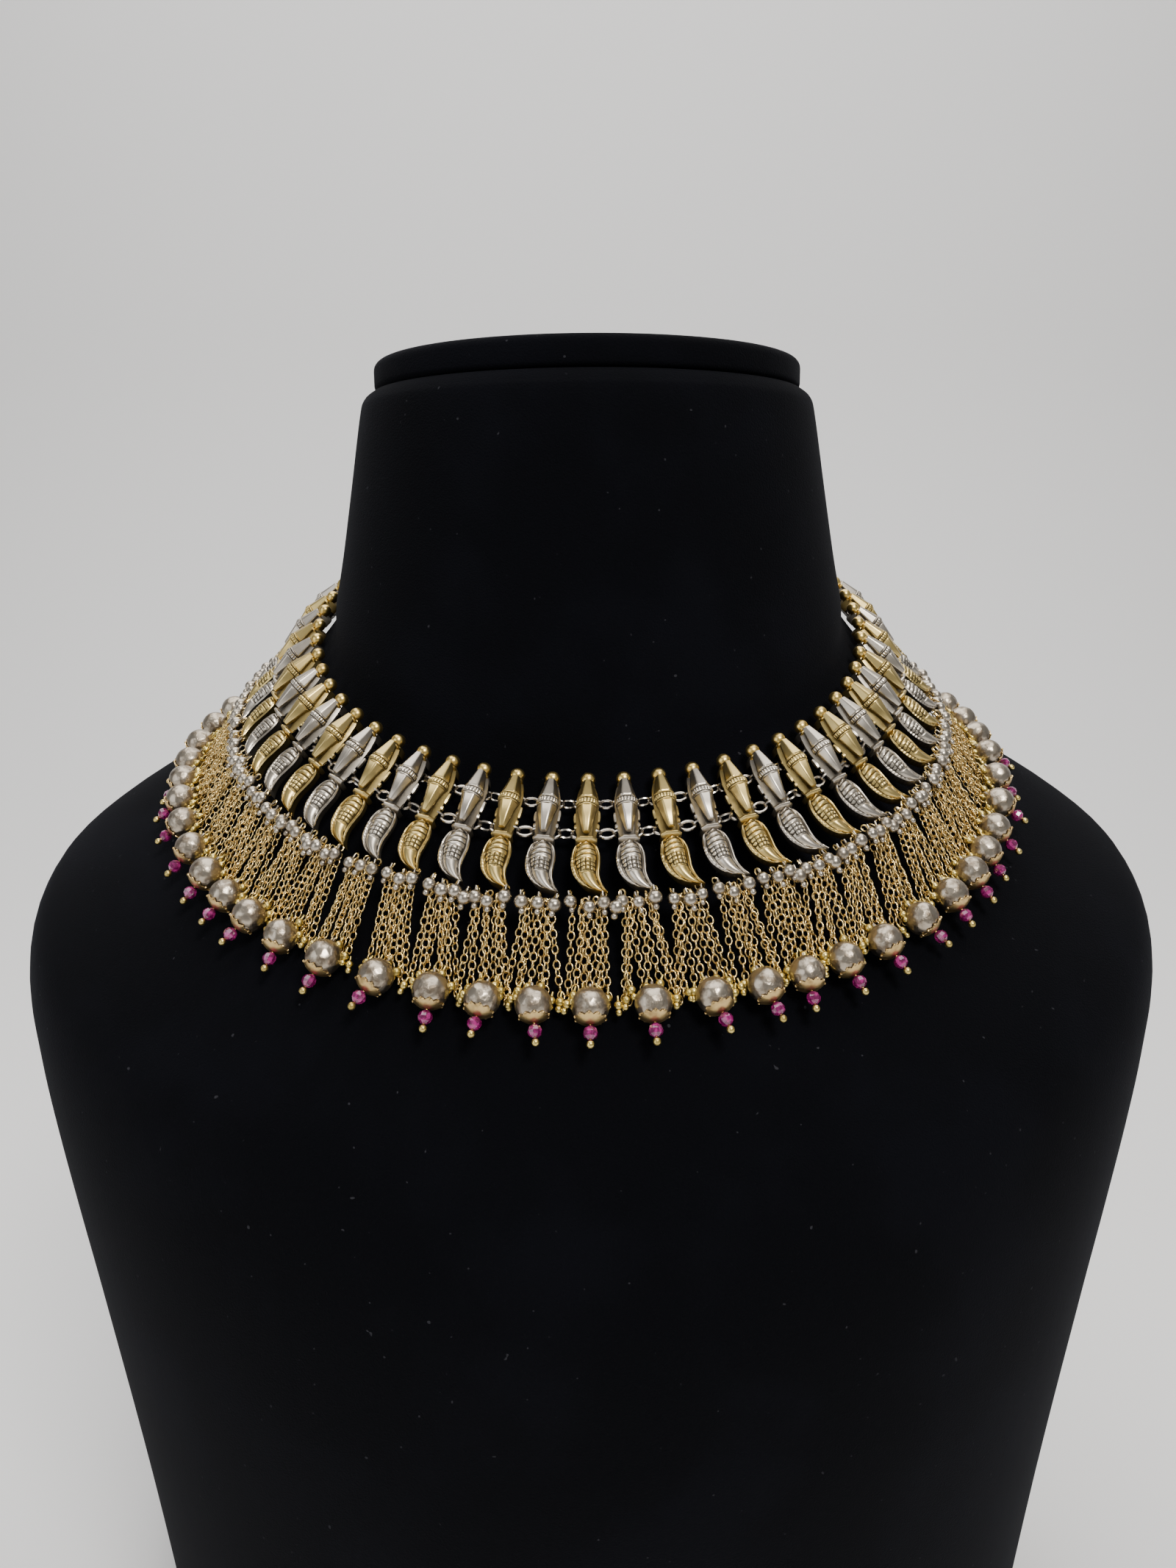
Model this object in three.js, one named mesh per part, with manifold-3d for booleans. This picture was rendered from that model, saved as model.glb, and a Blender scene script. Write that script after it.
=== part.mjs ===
// Bib necklace on a plain neck bust. Millimetres, +Z up, the front towards -Y, the base on Z = 0.
import * as THREE from "three";
import { mergeVertices } from "three/addons/utils/BufferGeometryUtils.js";
import Module from "manifold-3d";

const wasm = await Module();
wasm.setup();

// Clearances
const SEAT_GAP = 0.3; // between a metal piece and what it rests on
const FRINGE_GAP = 2 * SEAT_GAP; // the fringe bends with the skin, so it keeps a little further off
const MERGE_DISTANCE = 1e-3;

// Neck bust
const NECK_TOP_HEIGHT = 312;
const NECK_RADIUS = 51.8;
const SHOULDER_HALF_WIDTH = 133.5;
const CHEST_DEPTH = 107; // from the neck's axis forwards
const BACK_DEPTH = 80; // from the neck's axis backwards
const BUST_SIDES = 26;
const CAP_RADIUS = 0.93 * NECK_RADIUS;
const CAP_THICKNESS = 6.2;
const CAP_EDGE = 1.6; // the rounding of the cap's rim

// Each section is a ring round the neck's axis. Heights are shares of the neck's top height, and tilt is how
// much the section rises for each millimetre that it goes back.
const TORSO_SECTIONS = [
  { height: 0, side: 0.822, front: 0.869, back: 0.8, tilt: 0 },
  { height: 0.205, side: 0.871, front: 0.944, back: 0.888, tilt: 0.05 },
  { height: 0.375, side: 0.922, front: 0.991, back: 0.95, tilt: 0.12 },
  { height: 0.455, side: 0.949, front: 1, back: 0.975, tilt: 0.18 },
  { height: 0.526, side: 0.974, front: 1, back: 0.994, tilt: 0.22 },
  { height: 0.58, side: 0.992, front: 0.986, back: 1, tilt: 0.256 },
  { height: 0.622, side: 1, front: 0.963, back: 1, tilt: 0.29 },
  { height: 0.653, side: 0.983, front: 0.939, back: 0.994, tilt: 0.32 },
  { height: 0.673, side: 0.929, front: 0.911, back: 0.981, tilt: 0.335 },
  { height: 0.695, side: 0.838, front: 0.874, back: 0.963, tilt: 0.342 },
  { height: 0.721, side: 0.715, front: 0.807, back: 0.925, tilt: 0.338 },
  { height: 0.775, side: 0.573, front: 0.659, back: 0.825, tilt: 0.394 },
];
// The first of these is the neckline, where the necklace's finials stand.
const NECK_SECTIONS = [
  { height: 0.8295, side: 1.183, front: 1.079, back: 1.11, tilt: 0.488 },
  { height: 0.8622, side: 1.139, front: 1.06, back: 1.087, tilt: 0.417 },
  { height: 0.894, side: 1.097, front: 1.035, back: 1.058, tilt: 0.27 },
  { height: 0.939, side: 1.046, front: 1.01, back: 1.019, tilt: 0.12 },
  { height: 0.981, side: 1, front: 1, back: 1, tilt: 0 },
  { height: 0.994, side: 0.978, front: 0.978, back: 0.978, tilt: 0 },
  { height: 1, side: 0.934, front: 0.934, back: 0.934, tilt: 0 },
];

// Stations of the bib
const MOTIF_COUNT = 35;
const MOTIF_PITCH = 7; // along the ring of the finials
const MOTIF_LENGTH = 25; // from the finial's centre to the paisley's tip
const CENTRE_SHIFT = -0.4; // the middle motif stands a little to the left
const FINIAL_RADIUS = 1.25;
const FINIAL_SETBACK = 0.5 * FINIAL_RADIUS; // behind the bicone's axis
const BEAD_SIDES = 10;
const BEAD_ROWS = 4;
const SEAT_STEP = 1; // between the places where a seat looks for the skin
const FRONT_TILT = THREE.MathUtils.degToRad(10); // the stiff bib flares off the skin, most at the front
const MOTIF_FAN = THREE.MathUtils.degToRad(3.5); // how far the motifs at the sides fan out
const MOTIF_LEAN = THREE.MathUtils.degToRad(-1.5); // and how far all of them lean, to the left

// Back bar: a bridge on the skin, with a foot lip, and a channel under it for the two link rows
const BAR_WIDTH = 4.4;
const BAR_DEPTH = 2.5;
const BAR_TOP = 0.6 * FINIAL_RADIUS; // below the finial's centre
const BAR_BOTTOM = 0.576 * MOTIF_LENGTH;
const BAR_TAPER = 0.17 * MOTIF_LENGTH; // where the bar reaches its full width
const BAR_NECK_HALF = 0.8 * FINIAL_RADIUS; // half its width under the finial
const FOOT_HEIGHT = 1.3;
const FOOT_DEPTH = 3.9;
const UPPER_ROW_DROP = 0.184 * MOTIF_LENGTH;
const LOWER_ROW_DROP = 0.46 * MOTIF_LENGTH;
const ROW_RADIUS = 0.75;
const ROW_SIDES = 8;
const ROW_SLANT = 0.45; // how steeply a row crosses the bars at the bib's sides
const CHANNEL_MARGIN = ROW_RADIUS + SEAT_GAP + (ROW_SLANT * BAR_WIDTH) / 2;
const CHANNEL_DEPTH = 2 * ROW_RADIUS + SEAT_GAP;

// Faceted bicone in front of the bar: profile as shares of its length and its radius
const BICONE_SIDES = 6;
const BICONE_RADIUS = 2.05;
const BICONE_AXIS = CHANNEL_DEPTH + BICONE_RADIUS * Math.cos(Math.PI / BICONE_SIDES);
const BICONE_TOP = 0.056 * MOTIF_LENGTH;
const BICONE_LENGTH = 0.46 * MOTIF_LENGTH;
const BICONE_PROFILE = [
  { along: 0, radius: 0 },
  { along: 0.31, radius: 1 },
  { along: 0.47, radius: 1 },
  { along: 1, radius: 0 },
];

// Paisley: outline as shares of its half width and its length, down from its top
const PAISLEY_TOP = 0.566 * MOTIF_LENGTH;
const PAISLEY_LENGTH = MOTIF_LENGTH - PAISLEY_TOP;
const PAISLEY_HALF_WIDTH = 2.65;
const PAISLEY_TAIL = 1.62; // how far its tail sweeps to one side, as a share of the half width
const PAISLEY_EDGE = 1.7; // height of its rim over the seat
const PAISLEY_CROWN = 3.4; // height of its dome over the seat
const PAISLEY_DOME_SHARE = 0.62; // the dome's shoulder, as a share of the outline
const PAISLEY_SHOULDER = THREE.MathUtils.lerp(PAISLEY_EDGE, PAISLEY_CROWN, 0.7); // and its height
const PAISLEY_HEART = { across: -0.12, down: 0.42 };
const PAISLEY_OUTLINE = [
  { across: 0, down: 0 },
  { across: -0.66, down: 0.08 },
  { across: -1, down: 0.28 },
  { across: -0.96, down: 0.5 },
  { across: -0.66, down: 0.71 },
  { across: 0.1, down: 0.92 },
  { across: PAISLEY_TAIL, down: 1 },
  { across: 1.22, down: 0.78 },
  { across: 1.02, down: 0.5 },
  { across: 1, down: 0.25 },
  { across: 0.6, down: 0.06 },
];

// Fringe: strands of chain from under the paisley to the hem, and the large ball with its cap, stone and pin
const SECTION_COUNT = 7;
const TASSELS_PER_SECTION = MOTIF_COUNT / SECTION_COUNT;
const FRINGE_TOP = MOTIF_LENGTH + SEAT_GAP + ROW_SLANT * PAISLEY_TAIL * PAISLEY_HALF_WIDTH;
const FRINGE_LENGTH = 16.8;
const STRAND_RIDGE = 2.1; // thickness of the strands at a tassel's middle
const STRAND_VALLEY = 1.1; // and between two tassels
const SECTION_GAP = 0.5;
const DRAPE = 2.2; // how far the hem falls in towards the front at the bib's corners
const BALL_RADIUS = 3.35;
const BALL_DROP = FRINGE_LENGTH + 1.5; // its centre, below the fringe's top
// Two slow waves make the large balls hang unevenly: turn is the angle from one tassel to the next.
const SWAYS = [
  { reach: 1.2, turn: 0.35, phase: 1.17 },
  { reach: 0.95, turn: 1.1, phase: -1.19 },
];
// Profile as shares of the ball's radius, from its top
const BALL_PROFILE = [
  { along: 1, radius: 0 },
  { along: 0.55, radius: 0.84 },
  { along: -0.3, radius: 0.95 },
  { along: -1.1, radius: 0.3 },
  { along: -1.5, radius: 0.38 },
  { along: -2.25, radius: 0 },
];

// Hidden stretch at the back
const CHAIN_RADIUS = 1.1;
const CHAIN_STEPS = 14;
const CLASP_LENGTH = 12;
const CLASP_RADIUS = 2.1;
const CLASP_SIDES = 12;
const CLASP_NECK_SHARE = 0.6; // radius of its ends
const CLASP_NECK_LENGTH = 1.5;
const RING_SAMPLES = 720;
const PROBE = 1e-3; // a small step for tangents

const gold = new THREE.MeshStandardMaterial({ color: 0xc9a65a, roughness: 0.35, metalness: 1 });
const silver = new THREE.MeshStandardMaterial({ color: 0xa79f92, roughness: 0.4, metalness: 1 });
const goldChain = new THREE.MeshStandardMaterial({ color: 0xd8b062, roughness: 0.3, metalness: 1 });
const velvet = new THREE.MeshStandardMaterial({ color: 0x0b0c10, roughness: 1, metalness: 0 });

// Section tables to millimetres, from the base up
function sized(sections, side, front, back) {
  return sections.map((row) => ({
    height: row.height * NECK_TOP_HEIGHT,
    side: row.side * side,
    front: row.front * front,
    back: row.back * back,
    tilt: row.tilt,
  }));
}

const bustSections = [
  ...sized(TORSO_SECTIONS, SHOULDER_HALF_WIDTH, CHEST_DEPTH, BACK_DEPTH),
  ...sized(NECK_SECTIONS, NECK_RADIUS, NECK_RADIUS, NECK_RADIUS),
];
const NECKLINE = TORSO_SECTIONS.length;

// A point of one section; azimuth 0 is the front, and it grows towards +X.
function sectionPoint(section, azimuth) {
  const depth = Math.cos(azimuth) > 0 ? section.front : section.back;
  const forward = depth * Math.cos(azimuth);
  const height = section.height - section.tilt * forward;
  return new THREE.Vector3(section.side * Math.sin(azimuth), -forward, height);
}

// The point of the bust's skin that lies `drop` mm below the neckline, measured along the skin.
function skinPoint(azimuth, drop) {
  const step = drop >= 0 ? -1 : 1;
  let index = NECKLINE;
  let left = Math.abs(drop);
  let from = sectionPoint(bustSections[index], azimuth);
  while (bustSections[index + step]) {
    const to = sectionPoint(bustSections[index + step], azimuth);
    const length = from.distanceTo(to);
    if (left <= length) return from.lerp(to, left / length);
    left -= length;
    from = to;
    index += step;
  }
  return from;
}

function skinNormal(azimuth, drop) {
  const along = skinPoint(azimuth + PROBE, drop).sub(skinPoint(azimuth - PROBE, drop));
  const up = skinPoint(azimuth, drop - 1).sub(skinPoint(azimuth, drop + 1));
  return along.cross(up).normalize();
}

// A frame for a stiff piece that lies on the skin from one drop to another: x along the ring, y up the skin
// and z out of it. Its origin is on the skin's side of the seat, at drop 0.
function seatFrame(azimuth, from, to) {
  const top = skinPoint(azimuth, from);
  const bottom = skinPoint(azimuth, to);
  const up = top.clone().sub(bottom).normalize();
  const across = skinPoint(azimuth + PROBE, from).sub(skinPoint(azimuth - PROBE, from));
  const out = across.cross(up).normalize();
  const right = up.clone().cross(out);
  let lift = 0;
  for (let drop = from; drop <= to; drop += SEAT_STEP) {
    lift = Math.max(lift, skinPoint(azimuth, drop).sub(top).dot(out));
  }
  const origin = top.addScaledVector(up, from).addScaledVector(out, lift + SEAT_GAP);
  return new THREE.Matrix4().makeBasis(right, up, out).setPosition(origin);
}

function bibSeat(azimuth) {
  return seatFrame(azimuth, -FINIAL_RADIUS, MOTIF_LENGTH);
}

function tiltAt(azimuth) {
  return FRONT_TILT * Math.cos(azimuth / 2);
}

// A motif's frame: hinged where its bar starts, so that its tip stands off the skin, and turned in its plane
function motifFrame(azimuth) {
  const hinge = new THREE.Matrix4().makeTranslation(0, -BAR_TOP, 0);
  const tilt = new THREE.Matrix4().makeRotationX(-tiltAt(azimuth));
  const fan = new THREE.Matrix4().makeRotationZ(MOTIF_FAN * Math.sin(azimuth) + MOTIF_LEAN);
  return bibSeat(azimuth).multiply(hinge).multiply(tilt).multiply(hinge.clone().invert()).multiply(fan);
}

// Azimuths at equal distances along the ring that the finials' centres make
function ringAzimuths(distances) {
  const angles = [];
  const lengths = [];
  let length = 0;
  let before = null;
  for (let i = 0; i <= RING_SAMPLES; i += 1) {
    const angle = Math.PI * ((2 * i) / RING_SAMPLES - 1);
    const point = new THREE.Vector3(0, 0, BICONE_AXIS).applyMatrix4(motifFrame(angle));
    if (before) length += point.distanceTo(before);
    before = point;
    angles.push(angle);
    lengths.push(length);
  }
  return distances.map((distance) => {
    const wanted = length / 2 + distance;
    const i = lengths.findIndex((value) => value >= wanted);
    const share = (wanted - lengths[i - 1]) / (lengths[i] - lengths[i - 1]);
    return THREE.MathUtils.lerp(angles[i - 1], angles[i], share);
  });
}

const LAST = (MOTIF_COUNT - 1) / 2;
const places = [];
for (let i = -LAST - 1; i <= LAST + 1; i += 1) places.push(i * MOTIF_PITCH + CENTRE_SHIFT);
const stations = ringAzimuths(places);
const endStations = [stations[0], stations[stations.length - 1]];
const motifStations = stations.slice(1, -1);

// Closed mesh through rings of as many points each, with a tip at either end
function loft(rings, startTip, endTip) {
  const count = rings[0].length;
  const points = [...rings.flat(), startTip, endTip];
  const start = points.length - 2;
  const end = points.length - 1;
  const last = (rings.length - 1) * count;
  const faces = [];
  for (let i = 0; i < count; i += 1) {
    const j = (i + 1) % count;
    faces.push(start, j, i);
    faces.push(end, last + i, last + j);
    for (let r = 0; r < last; r += count) {
      faces.push(r + i, r + j, r + count + j);
      faces.push(r + i, r + count + j, r + count + i);
    }
  }
  const geometry = new THREE.BufferGeometry();
  geometry.setAttribute("position", new THREE.Float32BufferAttribute(points.flatMap((p) => p.toArray()), 3));
  geometry.setIndex(faces);
  return geometry;
}

function middle(points) {
  return points.reduce((sum, p) => sum.add(p), new THREE.Vector3()).divideScalar(points.length);
}

// A closed mesh as a solid that can be joined and cut
function solid(geometry) {
  const bare = new THREE.BufferGeometry();
  bare.setAttribute("position", geometry.getAttribute("position"));
  if (geometry.index) bare.setIndex(geometry.index);
  const merged = mergeVertices(bare, MERGE_DISTANCE);
  const triVerts = [];
  for (let i = 0; i < merged.index.count; i += 3) {
    const [a, b, c] = merged.index.array.subarray(i, i + 3);
    if (a !== b && b !== c && c !== a) triVerts.push(a, b, c);
  }
  return new wasm.Manifold(
    new wasm.Mesh({
      numProp: 3,
      vertProperties: merged.attributes.position.array,
      triVerts: new Uint32Array(triVerts),
    }),
  );
}

function geometryOf(made) {
  const mesh = made.getMesh();
  const geometry = new THREE.BufferGeometry();
  geometry.setAttribute("position", new THREE.BufferAttribute(new Float32Array(mesh.vertProperties), 3));
  geometry.setIndex([...mesh.triVerts]);
  geometry.computeVertexNormals();
  return geometry;
}

function joined(geometries) {
  return geometryOf(geometries.map(solid).reduce((whole, piece) => whole.add(piece)));
}

// Turned piece about the Y axis, from the top of its profile down
function turned(profile, length, radius, sides) {
  const points = profile.map((row) => new THREE.Vector2(row.radius * radius, row.along * length));
  return new THREE.LatheGeometry(points.reverse(), sides, Math.PI / sides);
}

function ball(radius, sides) {
  const profile = [];
  for (let i = 0; i <= BEAD_ROWS; i += 1) {
    const angle = (Math.PI * i) / BEAD_ROWS;
    profile.push({ along: Math.cos(angle), radius: i % BEAD_ROWS ? Math.sin(angle) : 0 });
  }
  return turned(profile, radius, radius, sides);
}

// Bust
function bustBody() {
  const rings = bustSections.map((section) => {
    const ring = [];
    for (let i = 0; i < BUST_SIDES; i += 1) ring.push(sectionPoint(section, (2 * Math.PI * i) / BUST_SIDES));
    return ring;
  });
  return loft(rings, middle(rings[0]), middle(rings[rings.length - 1]));
}

function bustCap() {
  const bottom = NECK_TOP_HEIGHT + SEAT_GAP;
  const top = bottom + CAP_THICKNESS;
  const profile = [
    new THREE.Vector2(0, bottom),
    new THREE.Vector2(CAP_RADIUS - CAP_EDGE / 2, bottom),
    new THREE.Vector2(CAP_RADIUS, bottom + CAP_EDGE / 2),
    new THREE.Vector2(CAP_RADIUS, top - CAP_EDGE),
    new THREE.Vector2(CAP_RADIUS - CAP_EDGE, top),
    new THREE.Vector2(0, top),
  ];
  return new THREE.LatheGeometry(profile, BUST_SIDES).rotateX(Math.PI / 2);
}

// Side outline of a back bar in its own plane: first down the skin, then out of it
function barOutline(hasChannel) {
  const outline = [
    [-BAR_TOP, 0],
    [-BAR_TOP, BAR_DEPTH],
    [FOOT_HEIGHT - BAR_BOTTOM, BAR_DEPTH],
    [FOOT_HEIGHT - BAR_BOTTOM, FOOT_DEPTH],
    [-BAR_BOTTOM, FOOT_DEPTH],
    [-BAR_BOTTOM, 0],
  ];
  if (hasChannel) {
    const top = CHANNEL_MARGIN - UPPER_ROW_DROP;
    const bottom = -CHANNEL_MARGIN - LOWER_ROW_DROP;
    outline.push([bottom, 0], [bottom, CHANNEL_DEPTH], [top, CHANNEL_DEPTH], [top, 0]);
  }
  return new THREE.Shape(outline.map(([along, out]) => new THREE.Vector2(along, out)));
}

// Front outline: narrow under the finial, then the full width
function barFront(width) {
  const half = width / 2;
  const outline = [
    [-half, -BAR_BOTTOM],
    [half, -BAR_BOTTOM],
    [half, -BAR_TAPER],
    [BAR_NECK_HALF, -BAR_TOP],
    [-BAR_NECK_HALF, -BAR_TOP],
    [-half, -BAR_TAPER],
  ];
  return new THREE.Shape(outline.map(([across, along]) => new THREE.Vector2(across, along)));
}

function bar(hasChannel, width) {
  const turn = new THREE.Matrix4().makeBasis(
    new THREE.Vector3(0, 1, 0),
    new THREE.Vector3(0, 0, 1),
    new THREE.Vector3(1, 0, 0),
  );
  const side = new THREE.ExtrudeGeometry(barOutline(hasChannel), { depth: 2 * width, bevelEnabled: false });
  side.translate(0, 0, -width).applyMatrix4(turn);
  const front = new THREE.ExtrudeGeometry(barFront(width), { depth: 2 * FOOT_DEPTH, bevelEnabled: false });
  front.translate(0, 0, -FOOT_DEPTH / 2);
  return geometryOf(solid(side).intersect(solid(front)));
}

function finial() {
  return ball(FINIAL_RADIUS, BEAD_SIDES).translate(0, 0, BICONE_AXIS - FINIAL_SETBACK);
}

function bicone() {
  const profile = BICONE_PROFILE.map((row) => ({ along: -row.along, radius: row.radius }));
  const geometry = turned(profile, BICONE_LENGTH, BICONE_RADIUS, BICONE_SIDES);
  return geometry.translate(0, -BICONE_TOP, BICONE_AXIS);
}

function paisley() {
  const outline = PAISLEY_OUTLINE.map(
    (row) => new THREE.Vector3(row.across * PAISLEY_HALF_WIDTH, -PAISLEY_TOP - row.down * PAISLEY_LENGTH, 0),
  );
  const heart = new THREE.Vector3(
    PAISLEY_HEART.across * PAISLEY_HALF_WIDTH,
    -PAISLEY_TOP - PAISLEY_HEART.down * PAISLEY_LENGTH,
    0,
  );
  const ringAt = (share, height) => outline.map((p) => heart.clone().lerp(p, share).setZ(height));
  const rings = [ringAt(1, 0), ringAt(1, PAISLEY_EDGE), ringAt(PAISLEY_DOME_SHARE, PAISLEY_SHOULDER)];
  return loft(rings, heart, heart.clone().setZ(PAISLEY_CROWN));
}

// Tube of round section along points that lie on the skin
function tube(points, radius, sides) {
  const section = new THREE.Shape();
  for (let i = 0; i < sides; i += 1) {
    const angle = (2 * Math.PI * i) / sides;
    const [x, y] = [radius * Math.cos(angle), radius * Math.sin(angle)];
    if (i) section.lineTo(x, y);
    else section.moveTo(x, y);
  }
  return new THREE.ExtrudeGeometry(section, {
    steps: points.length - 1,
    bevelEnabled: false,
    extrudePath: new THREE.CatmullRomCurve3(points),
  });
}

// Distance from a bar's middle at which a tube of this radius stops clear of it
function barStop(radius) {
  return (BAR_WIDTH / 2) * Math.hypot(1, ROW_SLANT) + SEAT_GAP + ROW_SLANT * radius;
}

// A link row runs through the motifs' channels and ends just short of the end bars.
function linkRow(drop) {
  const centre = new THREE.Vector3(0, -drop, ROW_RADIUS);
  const points = stations.map((azimuth) => centre.clone().applyMatrix4(motifFrame(azimuth)));
  for (let end = 0; end < 2; end += 1) {
    trimStart(points, barStop(ROW_RADIUS));
    points.reverse();
  }
  return tube(points, ROW_RADIUS, ROW_SIDES);
}

// Back chain from an end bar to the clasp, at the height of the upper link row
function backChain(side) {
  const start = side < 0 ? endStations[0] : endStations[1];
  const points = [];
  for (let i = 0; i <= CHAIN_STEPS; i += 1) {
    const share = i / CHAIN_STEPS;
    const azimuth = THREE.MathUtils.lerp(start, side * Math.PI, share);
    const height = THREE.MathUtils.lerp(CHAIN_RADIUS, CLASP_RADIUS, share) + SEAT_GAP;
    const centre = new THREE.Vector3(0, -UPPER_ROW_DROP, height).applyMatrix4(bibSeat(azimuth));
    points.push(centre);
  }
  trimStart(points, barStop(CHAIN_RADIUS));
  points.reverse();
  trimStart(points, CLASP_LENGTH / 2 + SEAT_GAP);
  return tube(points, CHAIN_RADIUS, ROW_SIDES);
}

// Takes a length off the start of a line of points.
function trimStart(points, length) {
  let left = length;
  while (points[0].distanceTo(points[1]) < left) {
    left -= points[0].distanceTo(points[1]);
    points.shift();
  }
  points[0].lerp(points[1], left / points[0].distanceTo(points[1]));
}

function clasp() {
  const half = CLASP_LENGTH / 2;
  const neck = CLASP_RADIUS * CLASP_NECK_SHARE;
  const profile = [
    new THREE.Vector2(0, -half),
    new THREE.Vector2(neck, -half),
    new THREE.Vector2(CLASP_RADIUS, CLASP_NECK_LENGTH - half),
    new THREE.Vector2(CLASP_RADIUS, half - CLASP_NECK_LENGTH),
    new THREE.Vector2(neck, half),
    new THREE.Vector2(0, half),
  ];
  return new THREE.LatheGeometry(profile, CLASP_SIDES).rotateZ(Math.PI / 2);
}

// How far a tassel's hem hangs out of line along the ring: the drape at the corners, and its own sway
function swingOf(index) {
  const waves = SWAYS.map((sway) => sway.reach * Math.sin(sway.turn * (index - LAST) + sway.phase));
  return waves[0] + waves[1] - DRAPE * Math.sin(2 * motifStations[index]);
}

// The azimuth of a place in a tassel that hangs out of line more and more towards its hem
function fringeAzimuth(azimuth, swing, share) {
  const reach = skinPoint(azimuth, FRINGE_TOP).setZ(0).length();
  return azimuth + (share * swing) / reach;
}

// One slice of the strands, from the fringe's top over the hem and back on the skin's side
function strandSlice(azimuth, swing, thickness) {
  const inner = [];
  const outer = [];
  for (const share of [0, 0.5, 1]) {
    const angle = fringeAzimuth(azimuth, swing, share);
    const drop = FRINGE_TOP + share * FRINGE_LENGTH;
    const out = skinNormal(angle, drop);
    const lift = (1 - share) * FRINGE_TOP * Math.sin(tiltAt(azimuth)); // its top hangs from the lifted tips
    const seat = skinPoint(angle, drop).addScaledVector(out, FRINGE_GAP + lift);
    inner.push(seat);
    outer.push(seat.clone().addScaledVector(out, thickness));
  }
  return [...inner.reverse(), ...outer];
}

function hangingBall(azimuth, swing) {
  const angle = fringeAzimuth(azimuth, swing, 1);
  const profile = turned(BALL_PROFILE, BALL_RADIUS, BALL_RADIUS, BEAD_SIDES);
  const drop = FRINGE_TOP + BALL_DROP;
  const frame = seatFrame(angle, drop - BALL_RADIUS, drop + BALL_RADIUS);
  const centre = skinPoint(angle, drop).addScaledVector(skinNormal(angle, drop), BALL_RADIUS + FRINGE_GAP);
  return profile.applyMatrix4(frame.setPosition(centre));
}

function fringeSection(section) {
  const first = section * TASSELS_PER_SECTION;
  const slices = [];
  const balls = [];
  for (let i = 0; i < TASSELS_PER_SECTION; i += 1) {
    const index = first + i;
    const azimuth = motifStations[index];
    const before = (stations[index] + azimuth) / 2;
    const after = (azimuth + stations[index + 2]) / 2;
    const reach = skinPoint(azimuth, FRINGE_TOP).setZ(0).length();
    const inset = SECTION_GAP / 2 / reach;
    if (i === 0) slices.push(strandSlice(before + inset, 0, STRAND_VALLEY));
    slices.push(strandSlice(azimuth, swingOf(index), STRAND_RIDGE));
    const edge = i === TASSELS_PER_SECTION - 1 ? after - inset : after;
    slices.push(strandSlice(edge, 0, STRAND_VALLEY));
    balls.push(hangingBall(azimuth, swingOf(index)));
  }
  const strands = loft(slices, middle(slices[0]), middle(slices[slices.length - 1]));
  return joined([strands, ...balls]);
}

// Assembly
const necklace = new THREE.Group();

function place(name, geometry, material, matrix) {
  const mesh = new THREE.Mesh(geometry, material);
  mesh.name = name;
  if (matrix) mesh.applyMatrix4(matrix);
  necklace.add(mesh);
}

function twoDigits(number) {
  return String(number).padStart(2, "0");
}

const motifGeometry = joined([bar(true, BAR_WIDTH), finial(), bicone(), paisley()]);
motifStations.forEach((azimuth, index) => {
  const plating = (index - LAST) % 2 === 0 ? gold : silver;
  place("motif_" + twoDigits(index + 1), motifGeometry, plating, motifFrame(azimuth));
});
place("upper_link_row", linkRow(UPPER_ROW_DROP), silver);
place("lower_link_row", linkRow(LOWER_ROW_DROP), silver);
place("end_bar_left", bar(false, BAR_WIDTH), gold, motifFrame(endStations[0]));
place("end_bar_right", bar(false, BAR_WIDTH), gold, motifFrame(endStations[1]));
place("back_chain_left", backChain(-1), goldChain);
place("back_chain_right", backChain(1), goldChain);
const claspSeat = new THREE.Vector3(0, -UPPER_ROW_DROP, CLASP_RADIUS + SEAT_GAP);
const claspFrame = bibSeat(Math.PI);
place("clasp", clasp(), gold, claspFrame.setPosition(claspSeat.applyMatrix4(claspFrame)));
for (let section = 0; section < SECTION_COUNT; section += 1) {
  place("fringe_" + (section + 1), fringeSection(section), goldChain);
}

const bust = new THREE.Group();
for (const [name, geometry] of [["bust_body", bustBody()], ["bust_cap", bustCap()]]) {
  const mesh = new THREE.Mesh(geometry, velvet);
  mesh.name = name;
  bust.add(mesh);
}

const assembly = new THREE.Group();
assembly.add(bust, necklace);

export default assembly;
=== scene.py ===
"""Bib necklace of gold and silver motifs with a chain fringe, on a velvet neck bust.

Metres, +Z up, the front towards -Y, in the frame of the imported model.
"""

import logging
import math
import random
from dataclasses import dataclass, field
from enum import Enum
from typing import Any, Callable, Iterable, Optional, Sequence

import bmesh
import bpy
from bpy.types import Material, Node, NodeLinks, Nodes, NodeSocket, Object
from mathutils import Euler, Matrix, Vector


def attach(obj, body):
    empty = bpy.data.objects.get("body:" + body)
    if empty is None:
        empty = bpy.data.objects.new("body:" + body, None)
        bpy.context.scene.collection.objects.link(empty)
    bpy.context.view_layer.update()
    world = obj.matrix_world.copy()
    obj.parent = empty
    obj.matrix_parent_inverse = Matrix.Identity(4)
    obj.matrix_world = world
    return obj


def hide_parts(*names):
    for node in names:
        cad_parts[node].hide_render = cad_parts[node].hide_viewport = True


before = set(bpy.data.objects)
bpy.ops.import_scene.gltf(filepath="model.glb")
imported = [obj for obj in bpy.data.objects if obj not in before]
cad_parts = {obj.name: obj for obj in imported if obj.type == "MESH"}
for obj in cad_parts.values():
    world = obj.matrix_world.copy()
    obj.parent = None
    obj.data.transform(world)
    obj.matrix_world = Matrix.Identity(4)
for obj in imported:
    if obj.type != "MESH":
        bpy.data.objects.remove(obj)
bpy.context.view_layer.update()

MM = 0.001
SEAT_GAP = 0.3 * MM  # between a piece and what carries it
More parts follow.
